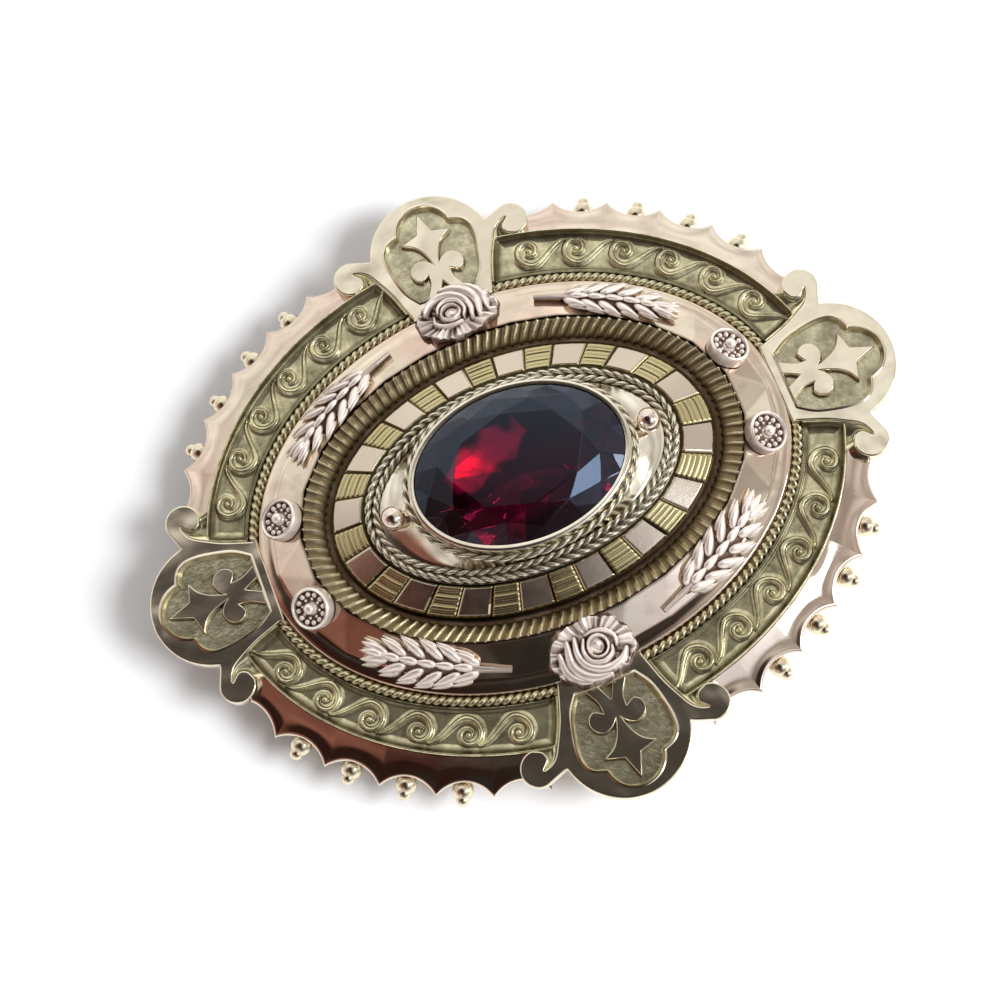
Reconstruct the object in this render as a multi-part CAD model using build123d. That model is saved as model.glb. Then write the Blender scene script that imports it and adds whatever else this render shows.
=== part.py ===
from build123d import *
import math
import os

# An oval gold brooch with a garnet, lying face up. The origin is the centre of its back
# rim's bottom, +X runs along the long axis, +Y across it and +Z out of its face.
# All sizes are in millimetres. An "oval" is a pair: half its length and half its width.

# Clearance between neighbouring pieces
gap = 0.03

# Garnet: an oval brilliant
stone_length = 12.4
stone_width = 9.1
girdle_thickness = 0.22
crown_height = 1.15
pavilion_depth = 3.5
table_share = 0.62
girdle_height = 7.1

# Bezel, the wire round it, and the polished cove
bezel_wall = 0.22
bezel_lip = 0.12
bezel_seat = 0.4
bezel_lip_rise = 0.12
inner_rope_wire = 0.4
inner_rope_drop = 0.55
cove_breadth_long = 1.98
cove_breadth_short = 0.1
cove_top_height = 6.25
cove_foot_height = 5.3
cove_seat_height = 5.1
cove_bend_share = 0.35
cove_bend_height = 5.65
grain_radius = 0.72
grain_reach = 0.62

# Double rope and the ring of square panels
double_rope_wire = 0.42
panel_ring_breadth_long = 2.1
panel_ring_breadth_short = 1.85
panel_ring_outer_height = 4.62
panel_ring_inner_height = 5.3
panel_count = 16
panel_length = 1.9
panel_rise = 0.13
panel_margin = 0.1

# Milled ring, in a groove of its own
groove_breadth = 0.35
milled_breadth_long = 1.3
milled_breadth_short = 1.1
milled_outer_height = 5.2
milled_inner_height = 4.72
milling_count = 116
milling_depth = 0.14
milling_lean = 0.4

# Domed band that carries roses, rosettes and wheat ears, and the tray inside it
dome_breadth = 2.64
dome_band_breadth = 0.7
dome_foot_height = 3.95
dome_band_rise = 0.1
dome_top_height = 5.1
dome_wall = 0.4
tray_height = 4.42
tray_thickness = 0.3

# Rope in the corner between dome and channels
outer_rope_wire = 0.62
rope_end_clearance = 0.3

# Back: gallery rim, closed plate and brooch pin
gallery_height = 3.2
gallery_wall = 0.7
gallery_ledge = 0.9
gallery_ledge_thickness = 0.6
back_plate_thickness = 0.35
pin_stem_diameter = 0.8
pin_stem_height = 0.85
pin_reach = 12.6
pin_block_length = 2.4
pin_block_width = 2.8
pin_block_drop = 0.3
catch_throat = 1.0

# Channels with running scrolls
channel_breadth_long = 2.35
channel_breadth_short = 2.81
channel_floor = 0.32
channel_wall_height = 0.72
channel_wall_top = 0.18
channel_wall_foot = 0.62
channel_fillet_breadth = 0.22
channel_fillet_rise = 0.14
scroll_count = 6
scroll_pitch = 2.83
scroll_wire = 0.2
scroll_rise = 0.26
scroll_radius = 0.96
scroll_end_radius = 0.36
scroll_turn = 380
scroll_line_shift = 0.17
boss_radius = 0.19

# Scalloped flange round the channels, with its granules
flange_breadth = 2.2
flange_thickness = 0.28
flange_inner_height = 3.78
flange_drop = 0.72
cusp_count = 5
cusp_pitch = 3.3
scallop_depth = 0.82
granule_radius = 0.62
granule_reach = 0.34
granule_tip_radius = 0.4
granule_tip_reach = 0.52

# Lobes at the ends of both axes
lobe_overhang = 3.92
lobe_thickness = 0.77
lobe_radius = 3.76
lobe_cusp_back = 2.9
lobe_base_half = 2.52
volute_back = 3.5
volute_half = 5.13
volute_radius = 1.05
horn_tip_back = 3.27
horn_tip_half = 4.9
eye_clearance_half = 4.46
recess_depth = 0.42
recess_length = 6.6
recess_half = 2.85
recess_front = 0.54
relief_drop = 0.06
relief_length = 6.65
relief_half = 1.65

# Applied ornaments on the dome
rosette_radius = 1.22
rosette_height = 0.72
rosette_rim = 0.16
rosette_recess = 0.2
rosette_bead_count = 12
rosette_bead_radius = 0.15
rosette_boss_radius = 0.42
rosette_boss_rise = 0.2
rosette_side = 2.8
rose_half_length = 2.6
rose_half_width = 1.85
rose_height = 1.5
rose_shift = 0.95
ear_length = 8.7
ear_half_width = 1.05
ear_height = 0.85
ear_stem_length = 1.6
ear_stem_half = 0.2
ear_grain_pairs = 6

# Places along the ovals, as angles of the oval's own parameter in degrees
sector_middle = 48.4
ear_stem_angle = 72.0
ear_tip_angle = 37.0

# Side of a lobe from its foot to the tip of the horn beside it: share of the way out, and
# share of the widening from the foot's half width to the horn tip's
lobe_side = [
    (0.0, 0.0),
    (0.22, 0.12),
    (0.46, 0.26),
    (0.67, 0.43),
    (0.87, 0.62),
    (0.96, 0.8),
    (1.0, 1.0),
]

# Tulip-shaped recess: share of its length back from the lobe's tip, share of its half width
recess_side = [
    (1.0, 0.625),
    (0.855, 0.84),
    (0.66, 0.96),
    (0.526, 1.0),
    (0.42, 0.975),
    (0.342, 0.84),
    (0.296, 0.595),
]

# Raised star on its leaves: share of the relief's length back from the lobe's tip, share of
# its half width. Each list is one stretch of the outline, and the next one starts at its end.
star_points = [(0.163, 0.0), (0.355, 0.28), (0.398, 0.92)]
star_stem = [(0.398, 0.92), (0.45, 0.55), (0.522, 0.32), (0.61, 0.17), (0.69, 0.07)]
leaf_outer = [
    (0.69, 0.07),
    (0.634, 0.27),
    (0.603, 0.56),
    (0.632, 0.85),
    (0.698, 0.99),
    (0.763, 0.92),
    (0.797, 0.74),
]
leaf_inner = [(0.797, 0.74), (0.778, 0.57), (0.75, 0.4)]
leg_outer = [(0.75, 0.4), (0.863, 0.46), (1.005, 0.78)]
leg_inner = [(1.005, 0.78), (1.005, 0.33), (0.842, 0.0)]


def grow(oval, long_side, short_side=None):
    """The oval made larger all round by a breadth, or by one on each axis."""
    return (oval[0] + long_side, oval[1] + (long_side if short_side is None else short_side))


# Ovals from the stone outwards, each worked out from the one before it
stone_edge = (stone_length / 2, stone_width / 2)
bezel_bore = grow(stone_edge, gap)
bezel_edge = grow(bezel_bore, bezel_wall)
inner_rope_path = grow(bezel_edge, gap + inner_rope_wire / 2)
cove_inner = grow(bezel_edge, gap)
cove_edge = grow(cove_inner, cove_breadth_long, cove_breadth_short)
double_rope_inner = grow(cove_edge, gap + double_rope_wire / 2)
double_rope_outer = grow(double_rope_inner, gap + double_rope_wire)
cove_seat_edge = grow(double_rope_outer, double_rope_wire / 2)
panel_ring_inner = grow(cove_seat_edge, gap)
panel_ring_edge = grow(panel_ring_inner, panel_ring_breadth_long, panel_ring_breadth_short)
milled_inner = grow(panel_ring_edge, groove_breadth)
milled_edge = grow(milled_inner, milled_breadth_long, milled_breadth_short)
dome_inner = grow(milled_edge, gap)
dome_edge = grow(dome_inner, dome_breadth)
dome_shoulder = grow(dome_edge, -dome_band_breadth)
outer_rope_path = grow(dome_edge, gap + outer_rope_wire / 2)
channel_inner = grow(outer_rope_path, gap + outer_rope_wire / 2)
scroll_line = grow(
    channel_inner,
    channel_breadth_long / 2 + scroll_line_shift,
    channel_breadth_short / 2 + scroll_line_shift,
)
rim_edge = grow(channel_inner, channel_breadth_long, channel_breadth_short)
gallery_edge = grow(channel_inner, gallery_wall / 2)
gallery_bore = grow(gallery_edge, -gallery_wall)
ledge_bore = grow(gallery_bore, -gallery_ledge)

# Heights
plate_height = gallery_height + gap
lobe_top = plate_height + lobe_thickness
floor_height = plate_height + channel_floor
rim_height = plate_height + channel_wall_height
dome_band_top = dome_foot_height + dome_band_rise
tray_bottom = tray_height - tray_thickness
seat_height = tray_height + gap
ledge_bottom = gallery_height - gallery_ledge_thickness
back_plate_bottom = ledge_bottom - gap - back_plate_thickness

# The four quarters between the lobes, by the signs of X and Y
quarters = {"upper_right": (1, 1), "upper_left": (-1, 1), "lower_left": (-1, -1), "lower_right": (1, -1)}


def oval_wire(oval, height):
    """One ellipse at a height."""
    return Wire([Edge.make_ellipse(oval[0], oval[1], plane=Plane((0, 0, height)))])


def stack(sections):
    """A solid ruled from oval to oval, given as (oval, height) from the bottom up."""
    return Solid.make_loft([oval_wire(oval, height) for oval, height in sections], ruled=True)


def oval_ring(outside, inside):
    """A closed ring between two stacks."""
    return (stack(outside) - stack(inside)).solid()


def oval_point(oval, angle):
    """A point of the oval, by its own parameter in degrees."""
    turn = math.radians(angle)
    return (oval[0] * math.cos(turn), oval[1] * math.sin(turn))


def oval_normal(oval, angle):
    """The unit normal that points out of the oval there."""
    turn = math.radians(angle)
    x, y = oval[1] * math.cos(turn), oval[0] * math.sin(turn)
    size = math.hypot(x, y)
    return (x / size, y / size)


def angle_along(oval, start, length):
    """The angle reached from start by going a length anticlockwise along the oval."""
    steps = max(8, int(abs(length) / 0.1))
    angle = start
    for _ in range(steps):
        turn = math.radians(angle)
        speed = math.hypot(oval[0] * math.sin(turn), oval[1] * math.cos(turn))
        middle = math.radians(angle + math.degrees(length / steps / speed) / 2)
        speed = math.hypot(oval[0] * math.sin(middle), oval[1] * math.cos(middle))
        angle += math.degrees(length / steps / speed)
    return angle


def beside(oval, angle, outward):
    """The point that lies outward from the oval by a distance along its normal."""
    point, normal = oval_point(oval, angle), oval_normal(oval, angle)
    return (point[0] + normal[0] * outward, point[1] + normal[1] * outward)


def sector_angle(sign, angle):
    """An angle given for the quarter where X and Y are positive, for the quarter of sign."""
    turned = angle if sign[0] > 0 else 180 - angle
    return turned if sign[1] > 0 else 360 - turned


def oval_length(oval):
    """The oval's length round, by Ramanujan's formula."""
    total, share = oval[0] + oval[1], ((oval[0] - oval[1]) / (oval[0] + oval[1])) ** 2
    return math.pi * total * (1 + 3 * share / (10 + math.sqrt(4 - 3 * share)))


def rope_ring(path_oval, height, wire):
    """A round wire bent to an oval."""
    path = oval_wire(path_oval, height)
    section = Plane(origin=path @ 0, z_dir=path % 0) * Circle(wire / 2)
    return sweep(section, path=path).solid()


def triangles(corners):
    """The two triangles of a four-cornered patch, without any that has no area."""
    first, second, third, fourth = [Vector(*corner) for corner in corners]
    faces = []
    for trio in ((first, second, third), (first, third, fourth)):
        if (trio[1] - trio[0]).cross(trio[2] - trio[0]).length > 1e-7:
            faces.append(Face(Wire.make_polygon(list(trio))))
    return faces


def faceted(rows, closed):
    """A faceted solid from rows of points, each a closed loop of as many points.

    A closed solid joins its last row to the first. An open one has a strip of patches over
    each end, from one half of the loop to the other.
    """
    count = len(rows[0])
    faces = []
    for index in range(len(rows) if closed else len(rows) - 1):
        row, following = rows[index], rows[(index + 1) % len(rows)]
        for side in range(count):
            nxt = (side + 1) % count
            faces += triangles([row[side], row[nxt], following[nxt], following[side]])
    if not closed:
        for row in (rows[0], rows[-1]):
            for side in range(count // 2 - 1):
                faces += triangles([row[side], row[side + 1], row[-2 - side], row[-1 - side]])
    return Solid(Shell(faces))


def dome_height(x, y):
    """Height of the carrying surface at a place: the dome, its plain band or a lobe."""
    low, high = dome_inner[0] - dome_edge[0], lobe_overhang
    for _ in range(40):
        middle = (low + high) / 2
        oval = grow(dome_edge, middle)
        inside = (x / oval[0]) ** 2 + (y / oval[1]) ** 2 < 1
        low, high = (low, middle) if inside else (middle, high)
    inward = -(low + high) / 2
    if inward < 0:
        return lobe_top
    if inward < dome_band_breadth:
        return max(lobe_top, dome_foot_height + dome_band_rise * inward / dome_band_breadth)
    share = (inward - dome_band_breadth) / (dome_breadth - dome_band_breadth)
    return max(lobe_top, dome_band_top + (dome_top_height - dome_band_top) * share)


def place_on_dome(angle, share):
    """The point of the dome at an angle and a share of the way from its edge inwards."""
    return oval_point(grow(dome_edge, -dome_breadth * share), angle)


def garnet():
    """Oval brilliant: planes of a round one of radius 1, stretched to the stone's size."""
    half_long, half_short = stone_edge
    top, bottom = girdle_height + girdle_thickness / 2, girdle_height - girdle_thickness / 2
    table, culet = top + crown_height, bottom - pavilion_depth
    body = extrude(Plane((0, 0, culet)) * Ellipse(half_long, half_short), table - culet)
    # Each row of facets: how many, turned by how much, where it meets the girdle and how high
    # it stands at the table's edge, as a share of the crown or of the pavilion
    rows = [
        (8, 0.0, top, table, 1.0, table_share),
        (8, 22.5, top, table, 1.0 + 0.1, table_share * 0.97),
        (16, 11.25, top, table, 0.99, table_share * 1.13),
        (8, 0.0, bottom, culet, 1.0, 0.0),
        (16, 11.25, bottom, culet, 0.99, 0.04),
    ]
    for count, turned, edge_height, end_height, edge_radius, end_radius in rows:
        for index in range(count):
            turn = math.radians(turned + 360 / count * index)
            outward = (math.cos(turn), math.sin(turn))
            rise = end_height - edge_height
            run = edge_radius - end_radius
            # In the round stone the plane passes through the edge point and the end point
            steep = abs(rise)
            tilt = math.copysign(run, rise)
            normal = (outward[0] * steep / half_long, outward[1] * steep / half_short, tilt)
            reach = (outward[0] * edge_radius, outward[1] * edge_radius)
            origin = (reach[0] * half_long, reach[1] * half_short, edge_height)
            body = split(body, bisect_by=Plane(origin=origin, z_dir=normal), keep=Keep.BOTTOM)
    return body.solid()


def bezel():
    """Wall round the stone with a lip over its crown and a seat under its girdle."""
    lip_height = girdle_height + girdle_thickness / 2 + bezel_lip_rise
    crown_slope = crown_height / ((1 - table_share) * stone_edge[1])
    pavilion_slope = pavilion_depth / (0.95 * stone_edge[1])
    under = girdle_height - girdle_thickness / 2 - gap
    outside = [
        (bezel_edge, seat_height),
        (bezel_edge, lip_height - bezel_wall / 2),
        (grow(bezel_edge, -bezel_wall / 2), lip_height),
    ]
    crown_edge = girdle_height + girdle_thickness / 2
    inside = [
        (grow(stone_edge, -bezel_seat), seat_height - 1),
        (grow(stone_edge, -bezel_seat), under - (bezel_seat + gap) * pavilion_slope),
        (bezel_bore, under),
        (bezel_bore, crown_edge + gap),
        (grow(bezel_bore, -bezel_lip), crown_edge + gap + bezel_lip * crown_slope),
        (grow(bezel_bore, -bezel_lip), lip_height + 1),
    ]
    return oval_ring(outside, inside)


def cove():
    """Polished hollow slope from the bezel out to the seat of the double rope."""
    bend = grow(cove_inner, cove_breadth_long * cove_bend_share, cove_breadth_short * cove_bend_share)
    outside = [
        (cove_seat_edge, seat_height),
        (cove_seat_edge, cove_seat_height),
        (cove_edge, cove_seat_height + gap),
        (grow(cove_edge, -gap), cove_foot_height),
        (bend, cove_bend_height),
        (grow(cove_inner, gap), cove_top_height),
    ]
    inside = [(cove_inner, seat_height - 1), (cove_inner, cove_top_height + 1)]
    return oval_ring(outside, inside)


def ball_grain(side):
    """Ball grain on the cove at one end of the long axis."""
    share = (grain_reach - cove_bend_share) / (1 - cove_bend_share)
    seat_top = cove_foot_height + (cove_bend_height - cove_foot_height) * (1 - share)
    along = side * (cove_inner[0] + cove_breadth_long * grain_reach)
    return (Pos(along, 0, seat_top + grain_radius * 1.04 + gap) * Sphere(grain_radius)).solid()


def panel_ring():
    """Sloping ring with raised square panels, every second field being left for engraving."""
    base_outside = [
        (panel_ring_edge, seat_height),
        (panel_ring_edge, panel_ring_outer_height),
        (panel_ring_inner, panel_ring_inner_height),
    ]
    base_inside = [(panel_ring_inner, seat_height - 1), (panel_ring_inner, panel_ring_inner_height + 1)]
    ring = (stack([base_outside[0], base_outside[1]]) - stack(base_inside)).solid()
    slope = stack([(panel_ring_edge, panel_ring_outer_height), (panel_ring_inner, panel_ring_inner_height)])
    ring = ring + (slope - stack(base_inside))
    raised_edge = grow(panel_ring_edge, -panel_margin)
    raised_bore = grow(panel_ring_inner, panel_margin)
    slab = oval_ring(
        [
            (raised_edge, panel_ring_outer_height - panel_margin),
            (raised_edge, panel_ring_outer_height + panel_rise),
            (raised_bore, panel_ring_inner_height + panel_rise),
        ],
        [(raised_bore, panel_ring_outer_height - 1), (raised_bore, panel_ring_inner_height + 1)],
    )
    middle = grow(panel_ring_inner, panel_ring_breadth_long / 2, panel_ring_breadth_short / 2)
    step = oval_length(middle) / panel_count
    cutters = []
    for index in range(panel_count):
        angle = angle_along(middle, 0, step * (index + 0.5))
        point, normal = oval_point(middle, angle), oval_normal(middle, angle)
        frame = Plane(origin=(point[0], point[1], panel_ring_outer_height), x_dir=(normal[0], normal[1], 0))
        cutters.append(frame * Box(panel_ring_breadth_long * 2, panel_length, panel_ring_inner_height))
    squares = [(slab & cutter).solid() for cutter in cutters]
    return ring.fuse(*squares).solid()


def milled_ring():
    """Ring of leaning ridges, sloping down towards the stone."""
    rows = []
    lean = milling_lean / oval_length(milled_edge) * 360
    for index in range(milling_count * 2):
        depth = milling_depth * (index % 2)
        angle = 360 * index / (milling_count * 2)
        outer_angle = angle_along(milled_edge, 0, oval_length(milled_edge) * angle / 360)
        inner_angle = outer_angle + lean
        outer = oval_point(grow(milled_edge, -depth / 2), outer_angle)
        crest = oval_point(grow(milled_edge, -0.2 * milled_breadth_short), outer_angle + 0.2 * lean)
        inner = oval_point(grow(milled_inner, depth / 2), inner_angle)
        rows.append([
            (outer[0], outer[1], seat_height),
            (outer[0], outer[1], milled_outer_height - milling_depth - depth),
            (crest[0], crest[1], milled_outer_height - depth),
            (inner[0], inner[1], milled_inner_height - depth),
            (inner[0], inner[1], seat_height),
        ])
    return faceted(rows, closed=True)


def dome_band():
    """Sheet dome: foot, plain band, slope, and the tray that carries the inner rings."""
    outside = [
        (dome_edge, plate_height),
        (dome_edge, dome_foot_height),
        (dome_shoulder, dome_band_top),
        (dome_inner, dome_top_height),
    ]
    hollow = [
        (grow(dome_edge, -dome_wall), plate_height - 1),
        (grow(dome_edge, -dome_wall), dome_foot_height - dome_wall),
        (grow(dome_shoulder, -dome_wall / 2), dome_band_top - dome_wall),
        (grow(dome_inner, -dome_wall / 2), tray_bottom),
    ]
    well = [(dome_inner, tray_height), (dome_inner, dome_top_height + 1)]
    hole = [(grow(stone_edge, -1.0), tray_bottom - 1), (grow(stone_edge, -1.0), tray_height + 1)]
    return (stack(outside) - stack(hollow) - stack(well) - stack(hole)).solid()


def lobe_outline(reach, foot_reach, spare=0.0):
    """Plan of a lobe that points along +X: a round end on a waisted body, and two volutes
    joined to it by necks. The horn of the channel beside it runs in between body and volute.
    With spare the outline is larger all round, and the horn so much narrower."""
    foot = foot_reach - 1.0
    tip = reach + spare
    cusp = (reach - lobe_cusp_back, math.sqrt(lobe_radius**2 - (lobe_radius - lobe_cusp_back) ** 2))
    horn_tip = (reach - horn_tip_back - spare, horn_tip_half)
    side = [(foot, lobe_base_half + spare)]
    for along, widening in lobe_side:
        x = foot_reach + (horn_tip[0] - foot_reach) * along
        y = lobe_base_half + (horn_tip_half - lobe_base_half) * widening + spare * (1 - along**8)
        side.append((x, y))
    volute = (reach - volute_back, volute_half)
    radius = volute_radius + spare
    eye = [
        horn_tip,
        (reach - volute_back - volute_radius * 0.25, eye_clearance_half - spare),
        (reach - volute_back - volute_radius * 0.72, eye_clearance_half + volute_radius * 0.12 - spare),
        (volute[0] - radius, volute_half),
    ]
    outer = (volute[0] + radius * math.cos(math.radians(45)), volute[1] + radius * math.sin(math.radians(45)))
    shoulder = (volute[0] + radius, volute_half - volute_radius * 0.2)
    outline = [
        Line((foot, 0), side[0]),
        Line(side[0], side[1]),
        Spline(*side[1:], tangents=[(1, 0.15), (0.35, 1)]),
        Spline(*eye, tangents=[(-0.6, -1), (-0.1, 1)]),
        ThreePointArc(eye[-1], outer, shoulder),
        Line(shoulder, (cusp[0] + spare, cusp[1] + spare * 0.3)),
    ]
    mirrored = [edge.mirror(Plane.XZ) for edge in outline]
    round_end = ThreePointArc(outline[-1] @ 1, (tip, 0), mirrored[-1] @ 1)
    return make_face(outline + mirrored + [round_end])


def relief_points(rows, reach):
    """Rows of the relief's tables as points beside the axis of a lobe."""
    return [(reach - along * relief_length, across * relief_half) for along, across in rows]


def lobe_relief(reach):
    """Plan of the star that stands on two curled leaves and two legs."""
    outline = [
        Polyline(*relief_points(star_points, reach)),
        Spline(*relief_points(star_stem, reach)),
        Spline(*relief_points(leaf_outer, reach)),
        Spline(*relief_points(leaf_inner, reach)),
        Spline(*relief_points(leg_outer, reach)),
        Polyline(*relief_points(leg_inner, reach)),
    ]
    return make_face(outline + [edge.mirror(Plane.XZ) for edge in outline])


def lobe_recess(reach):
    """Plan of the tulip-shaped recess round the star."""
    side = [(reach - along * recess_length, across * recess_half) for along, across in recess_side]
    shoulder = Spline(*side)
    foot = Line(side[0], (side[0][0], -side[0][1]))
    front = ThreePointArc(side[-1], (reach - recess_front, 0), (side[-1][0], -side[-1][1]))
    return make_face([shoulder, front, shoulder.mirror(Plane.XZ), foot])


def lobe_turn(name):
    """How far a lobe is turned from +X, and its reach and the dome's edge on that axis."""
    turn = {"right": 0, "top": 90, "left": 180, "bottom": 270}[name]
    axis = 0 if turn % 180 == 0 else 1
    return turn, rim_edge[axis] + lobe_overhang, dome_edge[axis] + gap


def lobe(name):
    """One lobe: a plate with a recess, and in it the raised star."""
    turn, reach, foot_reach = lobe_turn(name)
    plan = lobe_outline(reach, foot_reach)
    plate = extrude(Plane((0, 0, plate_height)) * plan, lobe_thickness)
    pocket = lobe_recess(reach) - lobe_relief(reach)
    plate -= extrude(Plane((0, 0, lobe_top - recess_depth)) * pocket, recess_depth + 1)
    plate -= extrude(Plane((0, 0, lobe_top - relief_drop)) * lobe_relief(reach), relief_drop + 1)
    plate = Rot(0, 0, turn) * plate
    return (plate - stack([(grow(dome_edge, gap), 0), (grow(dome_edge, gap), lobe_top + 1)])).solid()


def lobe_cutters():
    """Prisms a clearance larger than the lobes, through the whole height of the brooch."""
    cutters = []
    for name in ("right", "top", "left", "bottom"):
        turn, reach, foot_reach = lobe_turn(name)
        plan = lobe_outline(reach, foot_reach, spare=gap)
        cutters.append(Rot(0, 0, turn) * extrude(plan, lobe_top * 2))
    return cutters


def horn_plan(name, side):
    """Rough plan of a channel's horn beside a lobe: the lobe's own outline trims it."""
    turn, reach, _ = lobe_turn(name)
    corners = [
        (reach - horn_tip_back, horn_tip_half),
        (reach - volute_back, horn_tip_half - volute_radius * 0.9),
        (reach - lobe_overhang - volute_radius * 1.6, horn_tip_half - volute_radius * 1.2),
        (reach - lobe_overhang - volute_radius * 1.4, volute_half),
        (reach - volute_back - volute_radius, volute_half),
        (reach - volute_back - volute_radius * 0.5, eye_clearance_half + volute_radius * 0.1),
        (reach - volute_back, eye_clearance_half + volute_radius * 0.2),
    ]
    plan = make_face(Polyline(*corners, close=True))
    return Rot(0, 0, turn) * (plan if side > 0 else mirror(plan, about=Plane.XZ))


def channels():
    """The four channels: floor, moulded outer wall and a low fillet beside the rope."""
    floor = oval_ring(
        [(rim_edge, plate_height), (rim_edge, floor_height)],
        [(channel_inner, plate_height - 1), (channel_inner, floor_height + 1)],
    )
    wall = oval_ring(
        [(rim_edge, plate_height), (rim_edge, rim_height)],
        [(grow(rim_edge, -channel_wall_foot), plate_height - 1),
         (grow(rim_edge, -channel_wall_foot), floor_height),
         (grow(rim_edge, -channel_wall_top * 1.6), rim_height - channel_wall_top),
         (grow(rim_edge, -channel_wall_top), rim_height),
         (grow(rim_edge, -channel_wall_top), rim_height + 1)],
    )
    fillet = oval_ring(
        [(grow(channel_inner, channel_fillet_breadth), plate_height),
         (grow(channel_inner, channel_fillet_breadth), floor_height + channel_fillet_rise)],
        [(channel_inner, plate_height - 1), (channel_inner, floor_height + 1)],
    )
    body = floor.fuse(wall, fillet)
    for name in ("right", "top", "left", "bottom"):
        for side in (1, -1):
            body = body + extrude(Plane((0, 0, plate_height)) * horn_plan(name, side), channel_floor)
    for cutter in lobe_cutters():
        body = body - cutter
    return body.solids()


def scroll_spine(start_angle):
    """Points of one running scroll's wire: a tail that rises out of the last curl, then an
    equiangular spiral round its own. Each is (distance along, distance out) from the curl."""
    ratio = math.log(scroll_end_radius / scroll_radius) / math.radians(scroll_turn)
    points = []
    tail_end = (scroll_pitch - scroll_radius * 0.62, scroll_radius * 0.62)
    steps = 5
    for index in range(steps):
        share = index / steps
        smooth = share * share * (3 - 2 * share)
        along = tail_end[0] * (1 - share) + 0.12 * scroll_radius * share
        points.append((along, tail_end[1] * (1 - smooth) - scroll_radius * smooth))
    turns = 18
    for index in range(turns):
        turn = math.radians(scroll_turn * index / (turns - 1))
        radius = scroll_radius * math.exp(ratio * turn)
        heading = math.radians(-83) - turn
        points.append((radius * math.cos(heading), radius * math.sin(heading)))
    return [beside(scroll_line, angle_along(scroll_line, start_angle, -along), out) for along, out in points]


def wire_band(points, breadth):
    """Plan of a flat band that follows points, narrowing a little to both ends."""
    left, right = [], []
    last = len(points) - 1
    for index, point in enumerate(points):
        before, after = points[max(index - 1, 0)], points[min(index + 1, last)]
        run = (after[0] - before[0], after[1] - before[1])
        size = math.hypot(*run)
        half = breadth / 2 * (0.55 + 0.45 * math.sin(math.pi * min(index, 4) / 8))
        left.append((point[0] - run[1] / size * half, point[1] + run[0] / size * half))
        right.append((point[0] + run[1] / size * half, point[1] - run[0] / size * half))
    return make_face([Spline(*left), Line(left[-1], right[-1]), Spline(*right), Line(left[0], right[0])])


def channel_with_scrolls(body, sign):
    """One channel with its row of scrolls, all running clockwise as seen from above."""
    middle = sector_angle(sign, sector_middle)
    sunk = floor_height - channel_floor / 2
    additions = []
    for index in range(scroll_count):
        angle = angle_along(scroll_line, middle, scroll_pitch * (index - (scroll_count - 1) / 2))
        band = wire_band(scroll_spine(angle), scroll_wire)
        additions.append(extrude(Plane((0, 0, sunk)) * band, scroll_rise + channel_floor / 2))
        centre = beside(scroll_line, angle, 0)
        additions.append(Pos(centre[0], centre[1], floor_height + boss_radius * 0.4) * Sphere(boss_radius))
    for cutter in lobe_cutters():
        additions = [piece - cutter for piece in additions]
    return body.fuse(*additions).solid()


def flange(sign):
    """One sloping flange with a cusped edge, between two lobes, a clearance outside the rim."""
    inner = grow(rim_edge, gap)
    reach = flange_breadth * 1.6
    fall = flange_drop * reach / flange_breadth
    top = flange_inner_height
    under = flange_inner_height - flange_thickness
    outer = grow(rim_edge, reach)
    sheet = stack([(outer, top - fall), (inner, top)]) - stack([(outer, under - fall), (inner, under)])
    sheet = sheet - stack([(inner, 0), (inner, lobe_top * 2)])
    sheet = sheet & extrude(scallop_plan(sign), lobe_top * 2)
    for cutter in lobe_cutters():
        sheet = sheet - cutter
    return max(sheet.solids(), key=lambda solid: solid.volume)


def cusp_angles(sign):
    """Angles of one flange's cusps, from the sector's middle outwards, going anticlockwise."""
    tips = grow(rim_edge, flange_breadth)
    middle = sector_angle(sign, sector_middle)
    places = [cusp_pitch * (index - (cusp_count - 1) / 2) for index in range(cusp_count)]
    return [angle_along(tips, middle, place) for place in places]


def scallop_plan(sign):
    """Plan out to the cusped edge: arcs between the cusps, and a half scallop at each end."""
    tips = grow(rim_edge, flange_breadth)
    angles = cusp_angles(sign)
    first = angle_along(tips, angles[0], -cusp_pitch)
    last = angle_along(tips, angles[-1], cusp_pitch)
    stations = [first] + angles + [last]
    edges = []
    for start, end in zip(stations, stations[1:]):
        bottom = beside(tips, (start + end) / 2, -scallop_depth)
        edges.append(ThreePointArc(oval_point(tips, start), bottom, oval_point(tips, end)))
    edges.append(Line(edges[-1] @ 1, (0, 0)))
    edges.append(Line((0, 0), edges[0] @ 0))
    return make_face(edges)


def granules(sign, name):
    """Granules under the scallops of one flange, each a grain with a smaller one outside it.
    The grain's side just clears the flange's lower edge."""
    tips = grow(rim_edge, flange_breadth)
    edge_height = flange_inner_height - flange_thickness - flange_drop * (1 - scallop_depth / flange_breadth)
    height = edge_height - math.sqrt(granule_radius**2 - granule_reach**2) - gap
    granule = (Sphere(granule_radius) + Pos(granule_tip_reach, 0, 0) * Sphere(granule_tip_radius)).solid()
    pieces = {}
    angles = cusp_angles(sign)
    for index, (start, end) in enumerate(zip(angles, angles[1:])):
        x, y = beside(tips, (start + end) / 2, granule_reach - scallop_depth)
        normal = oval_normal(tips, (start + end) / 2)
        stand = Plane(origin=(x, y, height), x_dir=(normal[0], normal[1], 0), z_dir=(0, 0, 1))
        pieces[f"granule_{name}_{index + 1}"] = (stand * granule).solid()
    return pieces


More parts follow.
